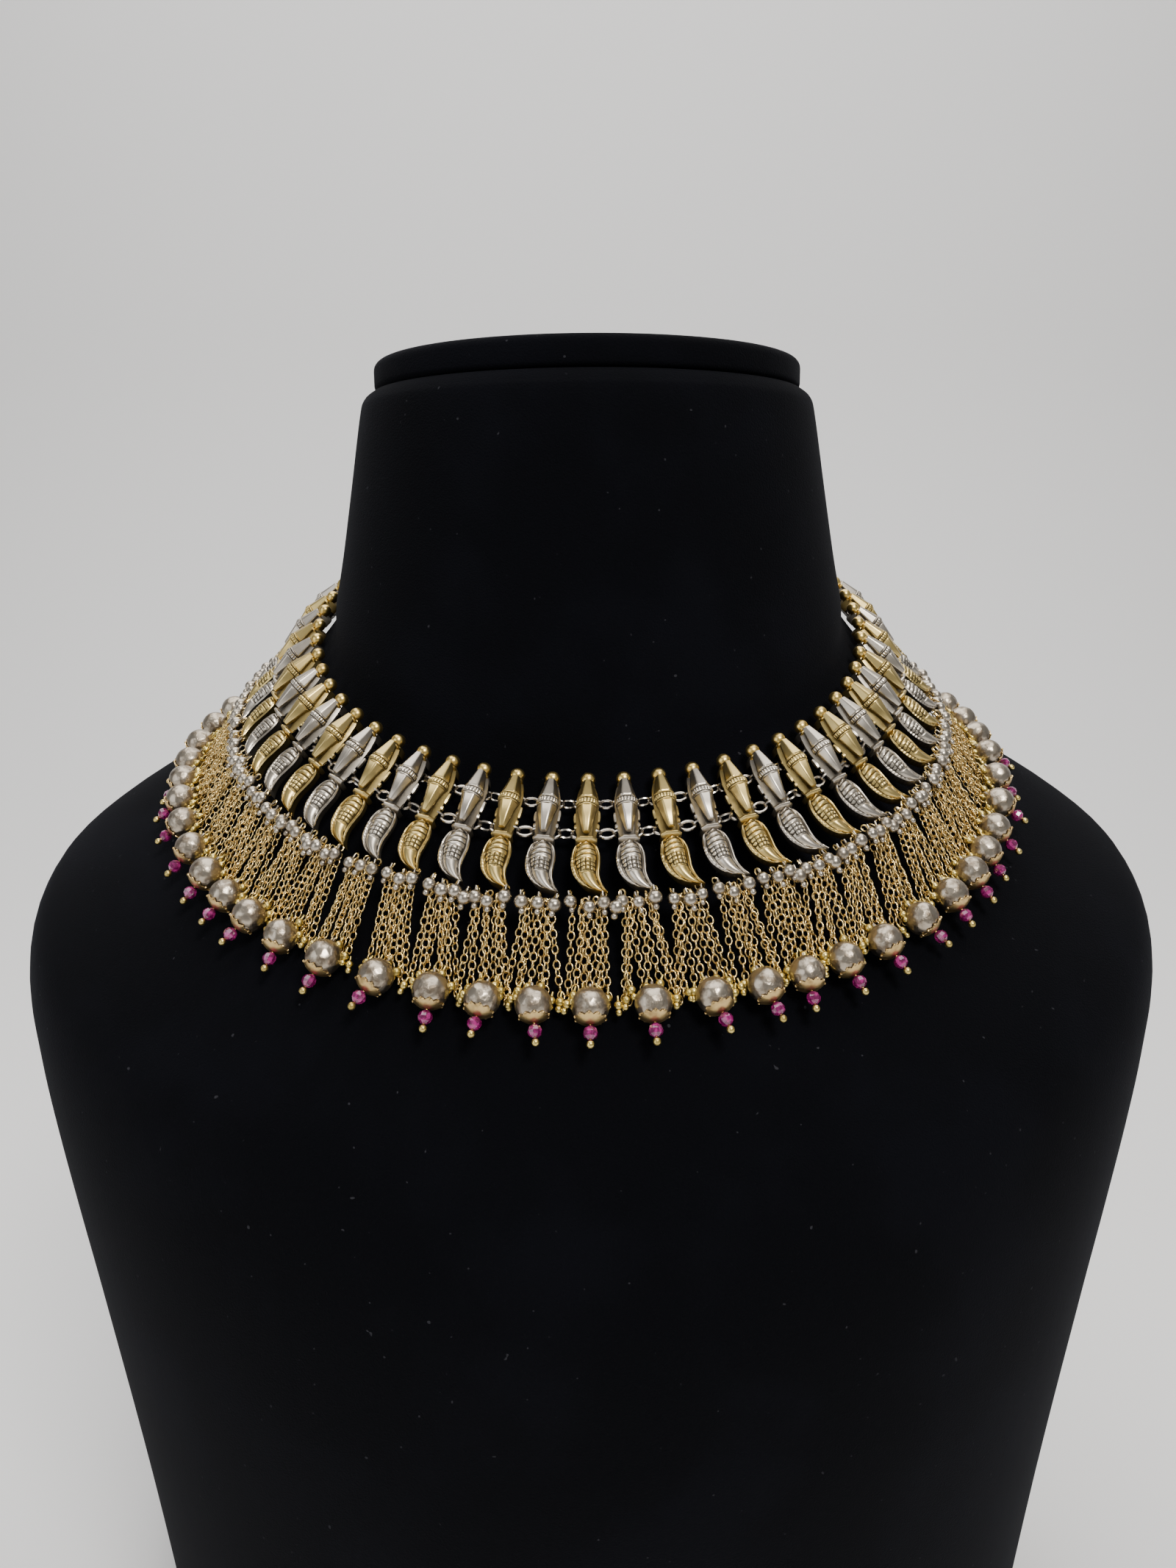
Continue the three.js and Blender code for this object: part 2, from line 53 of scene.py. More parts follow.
PROBE = 1e-3  # step of azimuth for a direction along the skin
SHARP = math.radians(38)  # edges sharper than this stay sharp
LEAST_RADIUS = 0.01 * MM  # of a turned body, where its profile ends on the axis
LINK_STEPS, WIRE_SIDES = 10, 5  # round a chain's link and round its wire
Line = list[tuple[Vector, Vector]]  # a chain's line: (point, outward direction)

log = logging.getLogger("necklace")


class Plating(Enum):
    """The two platings that take turns along the bib."""

    GOLD = "gold_plate"
    SILVER = "silver_plate"

    @staticmethod
    def of_station(step: int) -> "Plating":
        """Plating of the motif that stands this many steps from the middle one."""
        return Plating.GOLD if step % 2 == 0 else Plating.SILVER


# ---- node trees


class Socket:
    """A number inside a node tree; Python's operators on it add Math nodes."""

    def __init__(self, tree: "Tree", output: NodeSocket) -> None:
        """Wraps an output socket of a tree."""
        self.tree = tree
        self.output = output

    def _math(self, operation: str, first: Any, second: Any = 0.0) -> "Socket":
        """The result of a new Math node on two values or sockets."""
        node = self.tree.add("ShaderNodeMath", {"operation": operation}, {0: first, 1: second})
        return Socket(self.tree, node.outputs[0])

    def __add__(self, other: Any) -> "Socket":
        """Sum."""
        return self._math("ADD", self, other)

    def __radd__(self, other: Any) -> "Socket":
        """Sum, reflected."""
        return self._math("ADD", other, self)

    def __sub__(self, other: Any) -> "Socket":
        """Difference."""
        return self._math("SUBTRACT", self, other)

    def __rsub__(self, other: Any) -> "Socket":
        """Difference, reflected."""
        return self._math("SUBTRACT", other, self)

    def __mul__(self, other: Any) -> "Socket":
        """Product."""
        return self._math("MULTIPLY", self, other)

    def __mod__(self, other: Any) -> "Socket":
        """Remainder."""
        return self._math("MODULO", self, other)

    def above(self, limit: float, softness: float) -> "Socket":
        """A mask that rises from 0 to 1 as the value passes a limit.

        Args:
            limit: Where the mask starts.
            softness: How far above the limit it reaches 1.

        Returns:
            The mask.
        """
        settings = {"interpolation_type": "SMOOTHSTEP"}
        inputs = {"Value": self, "From Min": limit, "From Max": limit + softness}
        return Socket(self.tree, self.tree.add("ShaderNodeMapRange", settings, inputs).outputs[0])


class Tree:
    """A node tree that is filled by one method."""

    def __init__(self, nodes: Nodes, links: NodeLinks) -> None:
        """Keeps the tree's nodes and links."""
        self.nodes = nodes
        self.links = links

    def add(self, kind: str, settings: Optional[dict] = None, inputs: Optional[dict] = None) -> Node:
        """Adds a node.

        Args:
            kind: The node's type.
            settings: Its properties, set first.
            inputs: Values, sockets or nodes for its inputs, by name or number.

        Returns:
            The new node.
        """
        node = self.nodes.new(kind)
        for key, value in (settings or {}).items():
            setattr(node, key, value)
        for key, value in (inputs or {}).items():
            self.feed(node, key, value)
        return node

    def feed(self, node: Node, key: Any, value: Any) -> None:
        """Sets or links one input of a node.

        Args:
            node: The node.
            key: The input's name or number.
            value: A value, a socket or a node.
        """
        socket = node.inputs[key]
        if isinstance(value, Socket):
            self.links.new(value.output, socket)
        elif isinstance(value, Node):
            self.links.new(value.outputs[0], socket)
        elif isinstance(value, NodeSocket):
            self.links.new(value, socket)
        elif isinstance(value, tuple) and socket.type == "RGBA":
            socket.default_value = (*value, 1.0)
        else:
            socket.default_value = value


class Surface(Tree):
    """A material with one Principled shader."""

    def __init__(self, name: str) -> None:
        """Starts the material.

        Args:
            name: The material's name.
        """
        self.material = bpy.data.materials.new(name)
        self.material.use_nodes = True
        tree = self.material.node_tree
        super().__init__(tree.nodes, tree.links)
        self.shader = next(node for node in tree.nodes if node.type == "BSDF_PRINCIPLED")
        self.place = self.add("ShaderNodeTexCoord").outputs["Object"]

    def layer(self, layer: "Layer") -> Socket:
        """A layer's noise, from 0 to 1, or its mask."""
        inputs = {"Vector": self.place, "Scale": 1.0 / layer.size, "Detail": layer.detail}
        noise = Socket(self, self.add("ShaderNodeTexNoise", {}, inputs).outputs[0])
        return noise.above(*layer.mask) if layer.mask else noise

    def dents(self, size: float, smoothness: float) -> Socket:
        """Distance from the middles of irregular cells, in cells, which meet more or less smoothly."""
        inputs = {"Vector": self.place, "Scale": 1.0 / size, "Smoothness": smoothness}
        return Socket(self, self.add("ShaderNodeTexVoronoi", {"feature": "SMOOTH_F1"}, inputs).outputs[0])

    def attribute(self, name: str) -> Socket:
        """A number that the mesh carries."""
        node = self.add("ShaderNodeAttribute", {"attribute_name": name})
        return Socket(self, node.outputs["Fac"])

    def blend(self, factor: Socket, low: Any, high: Any) -> NodeSocket:
        """Mixes two colours.

        Args:
            factor: 0 gives the low colour and 1 the high one.
            low: The low colour.
            high: The high colour.

        Returns:
            The mixed colour.
        """
        node = self.add("ShaderNodeMix", {"data_type": "RGBA"})
        for key, value in ((0, factor), (6, low), (7, high)):
            self.feed(node, key, value)
        return node.outputs[2]

    def set(self, **inputs: Any) -> None:
        """Sets or links the shader's inputs; a name's underscores stand for spaces."""
        for name, value in inputs.items():
            self.feed(self.shader, name.replace("_", " "), value)

    def bump(self, height: Socket, depth: float, strength: float = 1.0) -> None:
        """Gives the shader a relief: its height from 0 to 1, what 1 stands for, and how much of it shows."""
        inputs = {"Height": height, "Distance": depth, "Strength": strength}
        self.set(Normal=self.add("ShaderNodeBump", {}, inputs))


# ---- finishes


@dataclass(frozen=True)
class Layer:
    """A layer of noise over a surface; with a mask, (limit, softness), it shows where the noise is high."""

    size: float
    detail: float = 2.0
    mask: tuple = ()


@dataclass(frozen=True)
class VelvetFinish:
    """Black velvet with a faint cool sheen and a few specks of lint."""

    name: str = "black_velvet"
    pile: tuple = (0.0008, 0.0009, 0.0016)
    brushed: tuple = (0.0020, 0.0022, 0.0038)
    lint: tuple = (0.022, 0.022, 0.026)
    fibres: Layer = Layer(0.35 * MM, 1.0)
    patches: Layer = Layer(34 * MM, 3.0, (0.42, 0.25))
    specks: Layer = Layer(1.1 * MM, 0.0, (0.845, 0.03))
    fibre_depth: float = 0.25 * MM
    patch_share: float = 0.6

    def build(self) -> Material:
        """Makes the material."""
        surface = Surface(self.name)
        fibres = surface.layer(self.fibres)
        nap = surface.layer(self.patches) * self.patch_share + fibres * (1 - self.patch_share)
        pile = surface.blend(nap, self.pile, self.brushed)
        surface.set(
            Base_Color=surface.blend(surface.layer(self.specks), pile, self.lint),
            Roughness=0.98,
            Specular_IOR_Level=0.08,
            Sheen_Weight=0.014,
            Sheen_Roughness=0.35,
            Sheen_Tint=(0.62, 0.68, 0.9),
        )
        surface.bump(fibres, self.fibre_depth, 0.6)
        return surface.material


@dataclass(frozen=True)
class PlatedFinish:
    """Soldered and plated relief with painted shade: its own bright colour on the high places and a painted
    dark in the recesses, with real grime besides.
    """

    name: str
    bright: tuple
    dark: tuple
    warm: tuple
    smooth: float = 0.28
    rough: float = 0.55
    grime: Layer = Layer(1.1 * MM, 3.0)
    grime_depth: float = 0.03 * MM
    grime_rough: float = 0.08
    tone: Layer = Layer(9 * MM, 1.0, (0.4, 0.3))
    tone_share: float = 0.6
    # Painted shade where the relief is low, and real grime: how much the relief and the grime count, and the
    # mask of what keeps the bright colour
    relief_share: float = 1.1
    grime_share: float = 0.14
    lit_and_clean_mask: tuple = (0.02, 0.62)

    def build(self) -> Material:
        """Makes the material."""
        surface = Surface(self.name)
        # The mesh's relief value paints shade: where it is low the colour turns dark; the grime noise adds real
        # dirt
        high = surface.attribute("high")
        grime = surface.layer(self.grime)
        lit_and_clean = (high * self.relief_share - grime * self.grime_share).above(*self.lit_and_clean_mask)
        metal = surface.blend(surface.layer(self.tone) * self.tone_share, self.bright, self.warm)
        surface.set(
            Base_Color=surface.blend(lit_and_clean, self.dark, metal),
            Metallic=1.0,
            Roughness=self.rough - lit_and_clean * (self.rough - self.smooth) + grime * self.grime_rough,
        )
        surface.bump(grime, self.grime_depth, 0.35)
        return surface.material


@dataclass(frozen=True)
class WireFinish:
    """Drawn wire and small balls: bright, with a little tarnish."""

    name: str
    bright: tuple
    dark: tuple
    smooth: float = 0.2
    tarnish: Layer = Layer(2.0 * MM, mask=(0.45, 0.35))
    tarnish_rough: float = 0.16
    scratches: Layer = Layer(0.5 * MM)
    scratch_depth: float = 0.03 * MM
    scratch_rough: float = 0.08

    def build(self) -> Material:
        """Makes the material."""
        surface = Surface(self.name)
        tarnish, scratches = surface.layer(self.tarnish), surface.layer(self.scratches)
        surface.set(
            Base_Color=surface.blend(tarnish, self.bright, self.dark),
            Metallic=1.0,
            Roughness=self.smooth + tarnish * self.tarnish_rough + scratches * self.scratch_rough,
        )
        surface.bump(scratches, self.scratch_depth, 0.4)
        return surface.material


@dataclass(frozen=True)
class HammeredFinish:
    """Old silver: lightly hammered, with a warm, blotched patina."""

    name: str = "aged_silver"
    bright: tuple = (0.44, 0.38, 0.30)
    patina: tuple = (0.16, 0.125, 0.088)
    dent_size: float = 1.5 * MM
    dent_softness: float = 0.35
    dent_depth: float = 0.24 * MM
    dent_share: float = 0.7
    blotches: Layer = Layer(1.7 * MM, 4.0, (0.42, 0.3))
    blotch_share: float = 0.3
    smooth: float = 0.29
    blotch_rough: float = 0.2

    def build(self) -> Material:
        """Makes the material."""
        surface = Surface(self.name)
        blotches = surface.layer(self.blotches)
        dents = surface.dents(self.dent_size, self.dent_softness)
        surface.set(
            Base_Color=surface.blend(blotches, self.bright, self.patina),
            Metallic=1.0,
            Roughness=self.smooth + blotches * self.blotch_rough,
        )
        surface.bump(dents * self.dent_share + blotches * self.blotch_share, self.dent_depth, 0.9)
        return surface.material


@dataclass(frozen=True)
class StoneFinish:
    """Translucent magenta stone with cloudy veins."""

    name: str = "ruby_stone"
    deep: tuple = (0.16, 0.002, 0.072)
    pale: tuple = (0.56, 0.03, 0.28)
    clouds: Layer = Layer(0.8 * MM, 3.0, (0.4, 0.3))
    smooth: float = 0.08
    cloud_rough: float = 0.06

    def build(self) -> Material:
        """Makes the material."""
        surface = Surface(self.name)
        clouds = surface.layer(self.clouds)
        surface.set(
            Base_Color=surface.blend(clouds, self.deep, self.pale),
            Roughness=self.smooth + clouds * self.cloud_rough,
            Transmission_Weight=0.35,
            IOR=1.7,
            Coat_Weight=0.4,
            Coat_Roughness=0.04,
        )
        return surface.material


@dataclass(frozen=True)
class PlainFinish:
    """A matt pale studio surface."""

    name: str = "studio_paper"
    colour: tuple = (0.80, 0.795, 0.79)
    smooth: float = 0.85
    grain: Layer = Layer(4 * MM)
    grain_rough: float = 0.1

    def build(self) -> Material:
        """Makes the material."""
        surface = Surface(self.name)
        roughness = self.smooth + surface.layer(self.grain) * self.grain_rough
        surface.set(Base_Color=self.colour, Roughness=roughness, Specular_IOR_Level=0.2)
        return surface.material


class Workshop:
    """All finishes, each made once."""

    def __init__(self) -> None:
        """Makes the finishes."""
        finishes = [
            VelvetFinish(),
            # For the plates, the second colour is painted shade for the low relief, mixed with real grime
            PlatedFinish("gold_plate", (0.64, 0.485, 0.19), (0.045, 0.03, 0.01), (0.50, 0.385, 0.155)),
            PlatedFinish("silver_plate", (0.55, 0.50, 0.425), (0.038, 0.033, 0.026), (0.43, 0.38, 0.31)),
            WireFinish("finial_gold", (0.76, 0.56, 0.19), (0.48, 0.32, 0.09), 0.25),
            WireFinish("silver_wire", (0.62, 0.565, 0.49), (0.26, 0.225, 0.18)),
            WireFinish("chain_gold", (0.84, 0.63, 0.27), (0.33, 0.22, 0.075), 0.18),
            WireFinish("drop_silver", (0.50, 0.445, 0.365), (0.20, 0.165, 0.125), 0.23),
            WireFinish("seed_gold", (0.70, 0.55, 0.18), (0.38, 0.285, 0.08), 0.25),
            WireFinish("cap_gold", (0.64, 0.46, 0.20), (0.30, 0.195, 0.085), 0.28),
            HammeredFinish(),
            StoneFinish(),
            PlainFinish(),
        ]
        self.materials = {finish.name: finish.build() for finish in finishes}

    def __getitem__(self, name: str) -> Material:
        """The finish of that name."""
        return self.materials[name]


# ---- shapes


def linked(name: str, data: Any) -> Object:
    """A new object in the scene that shows this data."""
    piece = bpy.data.objects.new(name, data)
    bpy.context.scene.collection.objects.link(piece)
    return piece


def host_mesh(name: str, points: Sequence, edges: Sequence[tuple], **carried: Sequence) -> Object:
    """An object of points and edges for a tree to grow on.

    Args:
        name: The object's name.
        points: Its points.
        edges: Its edges.
        **carried: What each point carries, in one flat list: one number to a point, or three.

    Returns:
        The object.
    """
    mesh = bpy.data.meshes.new(name)
    mesh.from_pydata(points, edges, [])
    for label, values in carried.items():
        kind, key = ("FLOAT", "value") if len(values) == len(points) else ("FLOAT_VECTOR", "vector")
        mesh.attributes.new(label, kind, "POINT").data.foreach_set(key, values)
    return linked(name, mesh)


class Shape:
    """Closed bodies, gathered point by point, with how high each point stands in the relief, which sets the
    painted shade of the plated finish.
    """

    def __init__(self) -> None:
        """Starts empty."""
        self.points: list[Vector] = []
        self.high: list[float] = []
        self.faces: list[tuple[int, ...]] = []

    def loft(self, rows: Sequence[Sequence[tuple[Vector, float]]]) -> "Shape":
        """Adds one closed body through closed rings of as many points each.

        Args:
            rows: The rings, each a list of (point, height in the relief).

        Returns:
            This shape.
        """
        count = len(rows[0])
        start = len(self.points)
        for row in rows:
            for point, high in row:
                self.points.append(Vector(point))
                self.high.append(high)
        for r in range(len(rows) - 1):
            for i in range(count):
                j = (i + 1) % count
                a = start + r * count
                self.faces.append((a + i, a + j, a + count + j, a + count + i))
        self.faces.append(tuple(start + i for i in reversed(range(count))))
        end = start + (len(rows) - 1) * count
        self.faces.append(tuple(end + i for i in range(count)))
        return self

    def turned(
        self,
        profile: Sequence[tuple[float, float]],
        sides: int,
        centre: Vector = Vector(),
        high: Optional[Sequence[float]] = None,
        ripple: Optional[Callable[[float, int], float]] = None,
    ) -> "Shape":
        """Adds a body turned about the Y axis.

        Args:
            profile: (place along Y, radius) from one end to the other.
            sides: How many sides it has.
            centre: Where its axis passes, and its zero.
            high: Height in the relief of each row of the profile.
            ripple: Share of the radius at an angle and a row.

        Returns:
            This shape.
        """
        rows = []
        for r, (along, radius) in enumerate(profile):
            row = []
            for i in range(sides):
                angle = 2 * math.pi * i / sides
                reach = max(radius, LEAST_RADIUS) * (ripple(angle, r) if ripple else 1.0)
                spot = Vector((reach * math.sin(angle), along, reach * math.cos(angle)))
                row.append((centre + spot, high[r] if high else 1.0))
            rows.append(row)
        return self.loft(rows)

    def made(self, name: str, angle: float = SHARP) -> Object:
        """Turns the shape into an object.

        Args:
            name: The object's name.
            angle: Edges sharper than this stay sharp.

        Returns:
            The object, linked to the scene.
        """
        mesh = bpy.data.meshes.new(name)
        mesh.from_pydata(self.points, [], self.faces)
        # The relief value goes with the mesh; the plated finish paints shade where it is low
        values = mesh.attributes.new("high", "FLOAT", "POINT")
        values.data.foreach_set("value", self.high)
        sheet = bmesh.new()
        sheet.from_mesh(mesh)
        bmesh.ops.recalc_face_normals(sheet, faces=sheet.faces)
        sheet.to_mesh(mesh)
        sheet.free()
        mesh.shade_smooth()
        mesh.set_sharp_from_angle(angle=angle)
        return linked(name, mesh)


def arc(steps: int, start: float, stop: float) -> list[float]:
    """Angles from start to stop in equal steps."""
    return [start + (stop - start) * i / steps for i in range(steps + 1)]


def scaled(rows: Iterable[Sequence[float]], along: float, across: float, start: float = 0.0) -> list[tuple]:
    """A profile from rows of shares, (along, radius)."""
    return [(start + row[0] * along, row[1] * across) for row in rows]


def ball_profile(radius: float, rows: int, centre: float = 0.0) -> list[tuple[float, float]]:
    """Profile of a ball, from its top to its bottom, as (along, radius)."""
    turn = arc(rows, 0, math.pi)
    return [(centre + radius * math.cos(a), radius * math.sin(a)) for a in turn]


def wire_loop(length: float, width: float, wire: float, steps: int, sides: int) -> Shape:
    """A closed oval of round wire, its length along the Y axis.

    Args:
        length: Length of the wire's middle line.
        width: Width of the wire's middle line.
        wire: The wire's thickness.
        steps: How many steps go round the oval.
        sides: How many sides the wire has.

    Returns:
        The loop's shape.
    """
    shape = Shape()
    for turn in arc(steps, 0, 2 * math.pi)[:-1]:
        centre = Vector((math.sin(turn) * width / 2, math.cos(turn) * length / 2, 0))
        outward = Vector((math.sin(turn) / width, math.cos(turn) / length, 0)).normalized()
        for angle in arc(sides, 0, 2 * math.pi)[:-1]:
            spot = outward * math.cos(angle) + Vector((0, 0, 1)) * math.sin(angle)
            shape.points.append(centre + spot * wire / 2)
            shape.high.append(1.0)
    for i in range(steps):
        for j in range(sides):
            a, b = i * sides, ((i + 1) % steps) * sides
            k = (j + 1) % sides
            shape.faces.append((a + j, a + k, b + k, b + j))
    return shape


def evened(line: Sequence[Vector], steps: int) -> list[Vector]:
    """The same line in steps that go equally far down the Y axis.

    Args:
        line: The line, which always goes down.
        steps: How many steps it takes.

    Returns:
        The new line's points.
    """
    spots, k = [], 0
    for height in arc(steps, line[0].y, line[-1].y):
        while k < len(line) - 2 and line[k + 1].y > height:
            k += 1
        share = (line[k].y - height) / max(line[k].y - line[k + 1].y, 1e-9)
        spots.append(line[k].lerp(line[k + 1], min(max(share, 0.0), 1.0)))
    return spots


def smooth_line(controls: Sequence[Vector], steps: int) -> list[Vector]:
    """A smooth line through control points.

    Args:
        controls: The points that it passes.
        steps: How many steps it takes between two of them.

    Returns:
        The line's points.
    """
    line = []
    last = len(controls) - 1
    for k in range(last):
        a, b = controls[max(k - 1, 0)], controls[k]
        c, d = controls[k + 1], controls[min(k + 2, last)]
        for i in range(steps):
            t = i / steps
            near = b * 2 + (c - a) * t
            far = (a * 2 - b * 5 + c * 4 - d) * t * t + (b * 3 - a - c * 3 + d) * t**3
            line.append((near + far) * 0.5)
    line.append(controls[-1].copy())
    return line


# ---- geometry nodes


class Growth(Tree):
    """A Geometry Nodes tree that ends in one plain mesh with one material."""

    def __init__(self, name: str, inputs: Sequence[tuple[str, str]]) -> None:
        """Starts the tree.

        Args:
            name: The tree's name.
            inputs: (name, socket type) of each input after the geometry.
        """
        self.group = bpy.data.node_groups.new(name, "GeometryNodeTree")
        super().__init__(self.group.nodes, self.group.links)
        kinds = [("Geometry", "NodeSocketGeometry"), *inputs, ("Material", "NodeSocketMaterial")]
        self.identifiers = {}
        for label, kind in kinds:
            item = self.group.interface.new_socket(label, in_out="INPUT", socket_type=kind)
            self.identifiers[label] = item.identifier
        self.group.interface.new_socket("Geometry", in_out="OUTPUT", socket_type="NodeSocketGeometry")
        self.input = self.add("NodeGroupInput")

    def __getitem__(self, label: str) -> Socket:
        """One of the tree's inputs."""
        return Socket(self, self.input.outputs[label])

    def finish(self, instances: Node) -> None:
        """Makes the instances real, gives them their material and hands them out."""
        real = self.add("GeometryNodeRealizeInstances", {}, {"Geometry": instances})
        dressed = self.add("GeometryNodeSetMaterial", {}, {"Geometry": real, "Material": self["Material"]})
        self.add("NodeGroupOutput", {}, {"Geometry": dressed})

    def grow(self, host: Object, **values: Any) -> Object:
        """Runs the tree on an object and leaves a plain mesh.

        Args:
            host: The object whose mesh the tree starts from.
            **values: The tree's inputs; underscores in a name stand for spaces.

        Returns:
            The same object, with the grown mesh and no modifier.
        """
        modifier = host.modifiers.new(self.group.name, "NODES")
        modifier.node_group = self.group
        for name, value in values.items():
            modifier[self.identifiers[name.replace("_", " ")]] = value
        host.update_tag()
        view = bpy.context.evaluated_depsgraph_get()
        mesh = bpy.data.meshes.new_from_object(host.evaluated_get(view), depsgraph=view)
        host.modifiers.remove(modifier)
        host.data = mesh
        mesh.name = host.name
        return host


def scatter_tree() -> Growth:
    """The tree that sets a copy of one shape on each point, turned and sized as the point says."""
    tree = Growth("scatter_shape", [("Shape", "NodeSocketObject")])
    turn = tree.add("GeometryNodeInputNamedAttribute", {"data_type": "FLOAT_VECTOR"}, {"Name": "turn"})
    size = tree.add("GeometryNodeInputNamedAttribute", {"data_type": "FLOAT"}, {"Name": "size"})
    shape = tree.add("GeometryNodeObjectInfo", {}, {"Object": tree["Shape"]})
    inputs = {
        "Points": tree["Geometry"],
        "Instance": shape.outputs["Geometry"],
        "Rotation": tree.add("FunctionNodeEulerToRotation", {}, {0: turn}),
        "Scale": size,
    }
    tree.finish(tree.add("GeometryNodeInstanceOnPoints", {}, inputs))
    return tree


def chain_tree() -> Growth:
    """The tree that runs oval links along lines, each turned a quarter from the one before."""
    sizes = ["Link Length", "Link Width", "Wire", "Pitch", "Lean", "Wobble"]
    tree = Growth("link_chain", [(label, "NodeSocketFloat") for label in sizes])
    line = tree.add("GeometryNodeMeshToCurve", {}, {"Mesh": tree["Geometry"]})
    spaced = tree.add("GeometryNodeResampleCurve", {"mode": "LENGTH"}, {"Curve": line, "Length": tree["Pitch"]})
    ring = tree.add("GeometryNodeCurvePrimitiveCircle", {}, {"Resolution": LINK_STEPS, "Radius": 1.0})
    reach = {
        "X": (tree["Link Width"] - tree["Wire"]) * 0.5,
        "Y": (tree["Link Length"] - tree["Wire"]) * 0.5,
        "Z": 1.0,
    }
    scale = tree.add("ShaderNodeCombineXYZ", {}, reach)
    oval = tree.add("GeometryNodeTransform", {}, {"Geometry": ring, "Scale": scale})
    round_wire = {"Resolution": WIRE_SIDES, "Radius": tree["Wire"] * 0.5}
    wire = tree.add("GeometryNodeCurvePrimitiveCircle", {}, round_wire)
    link = tree.add("GeometryNodeCurveToMesh", {}, {"Curve": oval, "Profile Curve": wire})
    smooth = tree.add("GeometryNodeSetShadeSmooth", {}, {"Geometry": link})
    out = tree.add("GeometryNodeInputNamedAttribute", {"data_type": "FLOAT_VECTOR"}, {"Name": "outward"})
    along = tree.add("GeometryNodeInputTangent")
    axes = {"primary_axis": "Y", "secondary_axis": "Z"}
    base = tree.add("FunctionNodeAxesToRotation", axes, {0: along, 1: out})
    index = Socket(tree, tree.add("GeometryNodeInputIndex").outputs[0])
    limits = {"Min": -1.0, "Max": 1.0, "Seed": 7}
    jitter = tree.add("FunctionNodeRandomValue", {"data_type": "FLOAT"})
    for socket in jitter.inputs:
        if socket.enabled and socket.name in limits:
            socket.default_value = limits[socket.name]
    swing = next(socket for socket in jitter.outputs if socket.enabled)
    angle = (index % 2.0) * (math.pi / 2) + tree["Lean"] + Socket(tree, swing) * tree["Wobble"]
    twist = tree.add("FunctionNodeAxisAngleToRotation", {}, {"Axis": Vector((0, 1, 0)), "Angle": angle})
    turned = tree.add("FunctionNodeRotateRotation", {"rotation_space": "LOCAL"}, {0: base, 1: twist})
    inputs = {"Points": spaced, "Instance": smooth, "Rotation": turned}
    tree.finish(tree.add("GeometryNodeInstanceOnPoints", {}, inputs))
    return tree


@dataclass(frozen=True)
class Link:
    """Sizes of one kind of chain."""

    length: float
    width: float
    wire: float
    lean: float = math.radians(12)
    wobble: float = math.radians(24)
    overlap: float = 2.1  # how far neighbours overlap, in thicknesses of their wire

    def inputs(self) -> dict[str, float]:
        """The chain tree's inputs."""
        return {
            "Link_Length": self.length,
            "Link_Width": self.width,
            "Wire": self.wire,
            "Pitch": self.length - self.overlap * self.wire,
            "Lean": self.lean,
            "Wobble": self.wobble,
        }


@dataclass
class Growths:
    """The trees, each made once, and the calls that use them."""

    workshop: Workshop
    scatter: Growth = field(default_factory=scatter_tree)
    chain: Growth = field(default_factory=chain_tree)

    def scattered(
        self,
        name: str,
        places: Sequence[Matrix],
        shape: Shape,
        finish: str,
        slot: str,
        nodes: Sequence[str] = (),
        sharp: float = SHARP,
    ) -> None:
        """Puts copies of a shape on the model, in one piece.

        Args:
            name: The piece's name.
            places: Where each copy stands.
            shape: The shape, in its own frame.
            finish: The finish's name.
            slot: The name of a material slot; not used.
            nodes: The solids that the piece stands for.
            sharp: Edges sharper than this stay sharp.
        """
        points = [place.to_translation() for place in places]
        turns = [angle for place in places for angle in place.to_euler()]
        sizes = [place.to_scale().x for place in places]
        piece = host_mesh(name, points, [], turn=turns, size=sizes)
        model = shape.made(name + "_shape", sharp)
        self.scatter.grow(piece, Shape=model, Material=self.workshop[finish])
        bpy.data.objects.remove(model)
        hand_over(piece, nodes)

    def chained(self, name: str, lines: Sequence[Line], link: Link, node: str) -> None:
        """Puts gold chains on the model, in one piece.

        Args:
            name: The piece's name.
            lines: The chains' lines.
            link: The chain's sizes.
            node: The solid that the piece stands for.
        """
        points, outward, edges = [], [], []
        for line in lines:
            for i, (point, out) in enumerate(line):
                if i:
                    edges.append((len(points) - 1, len(points)))
                points.append(point)
                outward.extend(out)
        piece = host_mesh(name, points, edges, outward=outward)
        self.chain.grow(piece, Material=self.workshop["chain_gold"], **link.inputs())
        hand_over(piece, [node])


def single(name: str, shape: Shape, material: Material, node: str, place: Matrix) -> None:
    """Puts one shape on the model, as a piece of its own.

    Args:
        name: The piece's name.
        shape: Its shape.
        material: Its finish.
        node: The solid that it stands for.
        place: The frame that it stands in.
    """
    piece = shape.made(name)
    piece.data.transform(place)
    piece.data.materials.append(material)
    hand_over(piece, [node])


def hand_over(piece: Object, nodes: Sequence[str]) -> None:
    """Puts a finished piece on the model.

    Args:
        piece: The piece.
        nodes: The solids that it stands for.
    """
    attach(piece, "root")
    if nodes:
        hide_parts(*nodes)
    log.info("%s: %d faces, stands for %d solids", piece.name, len(piece.data.polygons), len(nodes))


# ---- neck bust


@dataclass(frozen=True)
class Section:
    """One ring of the bust round the neck's axis; tilt is its rise for each metre back."""

    height: float
    side: float
    front: float
    back: float
    tilt: float

    def point(self, azimuth: float) -> Vector:
        """Its point at an azimuth: 0 is the front, and it grows towards +X."""
        forward = (self.front if math.cos(azimuth) > 0 else self.back) * math.cos(azimuth)
        return Vector((self.side * math.sin(azimuth), -forward, self.height - self.tilt * forward))


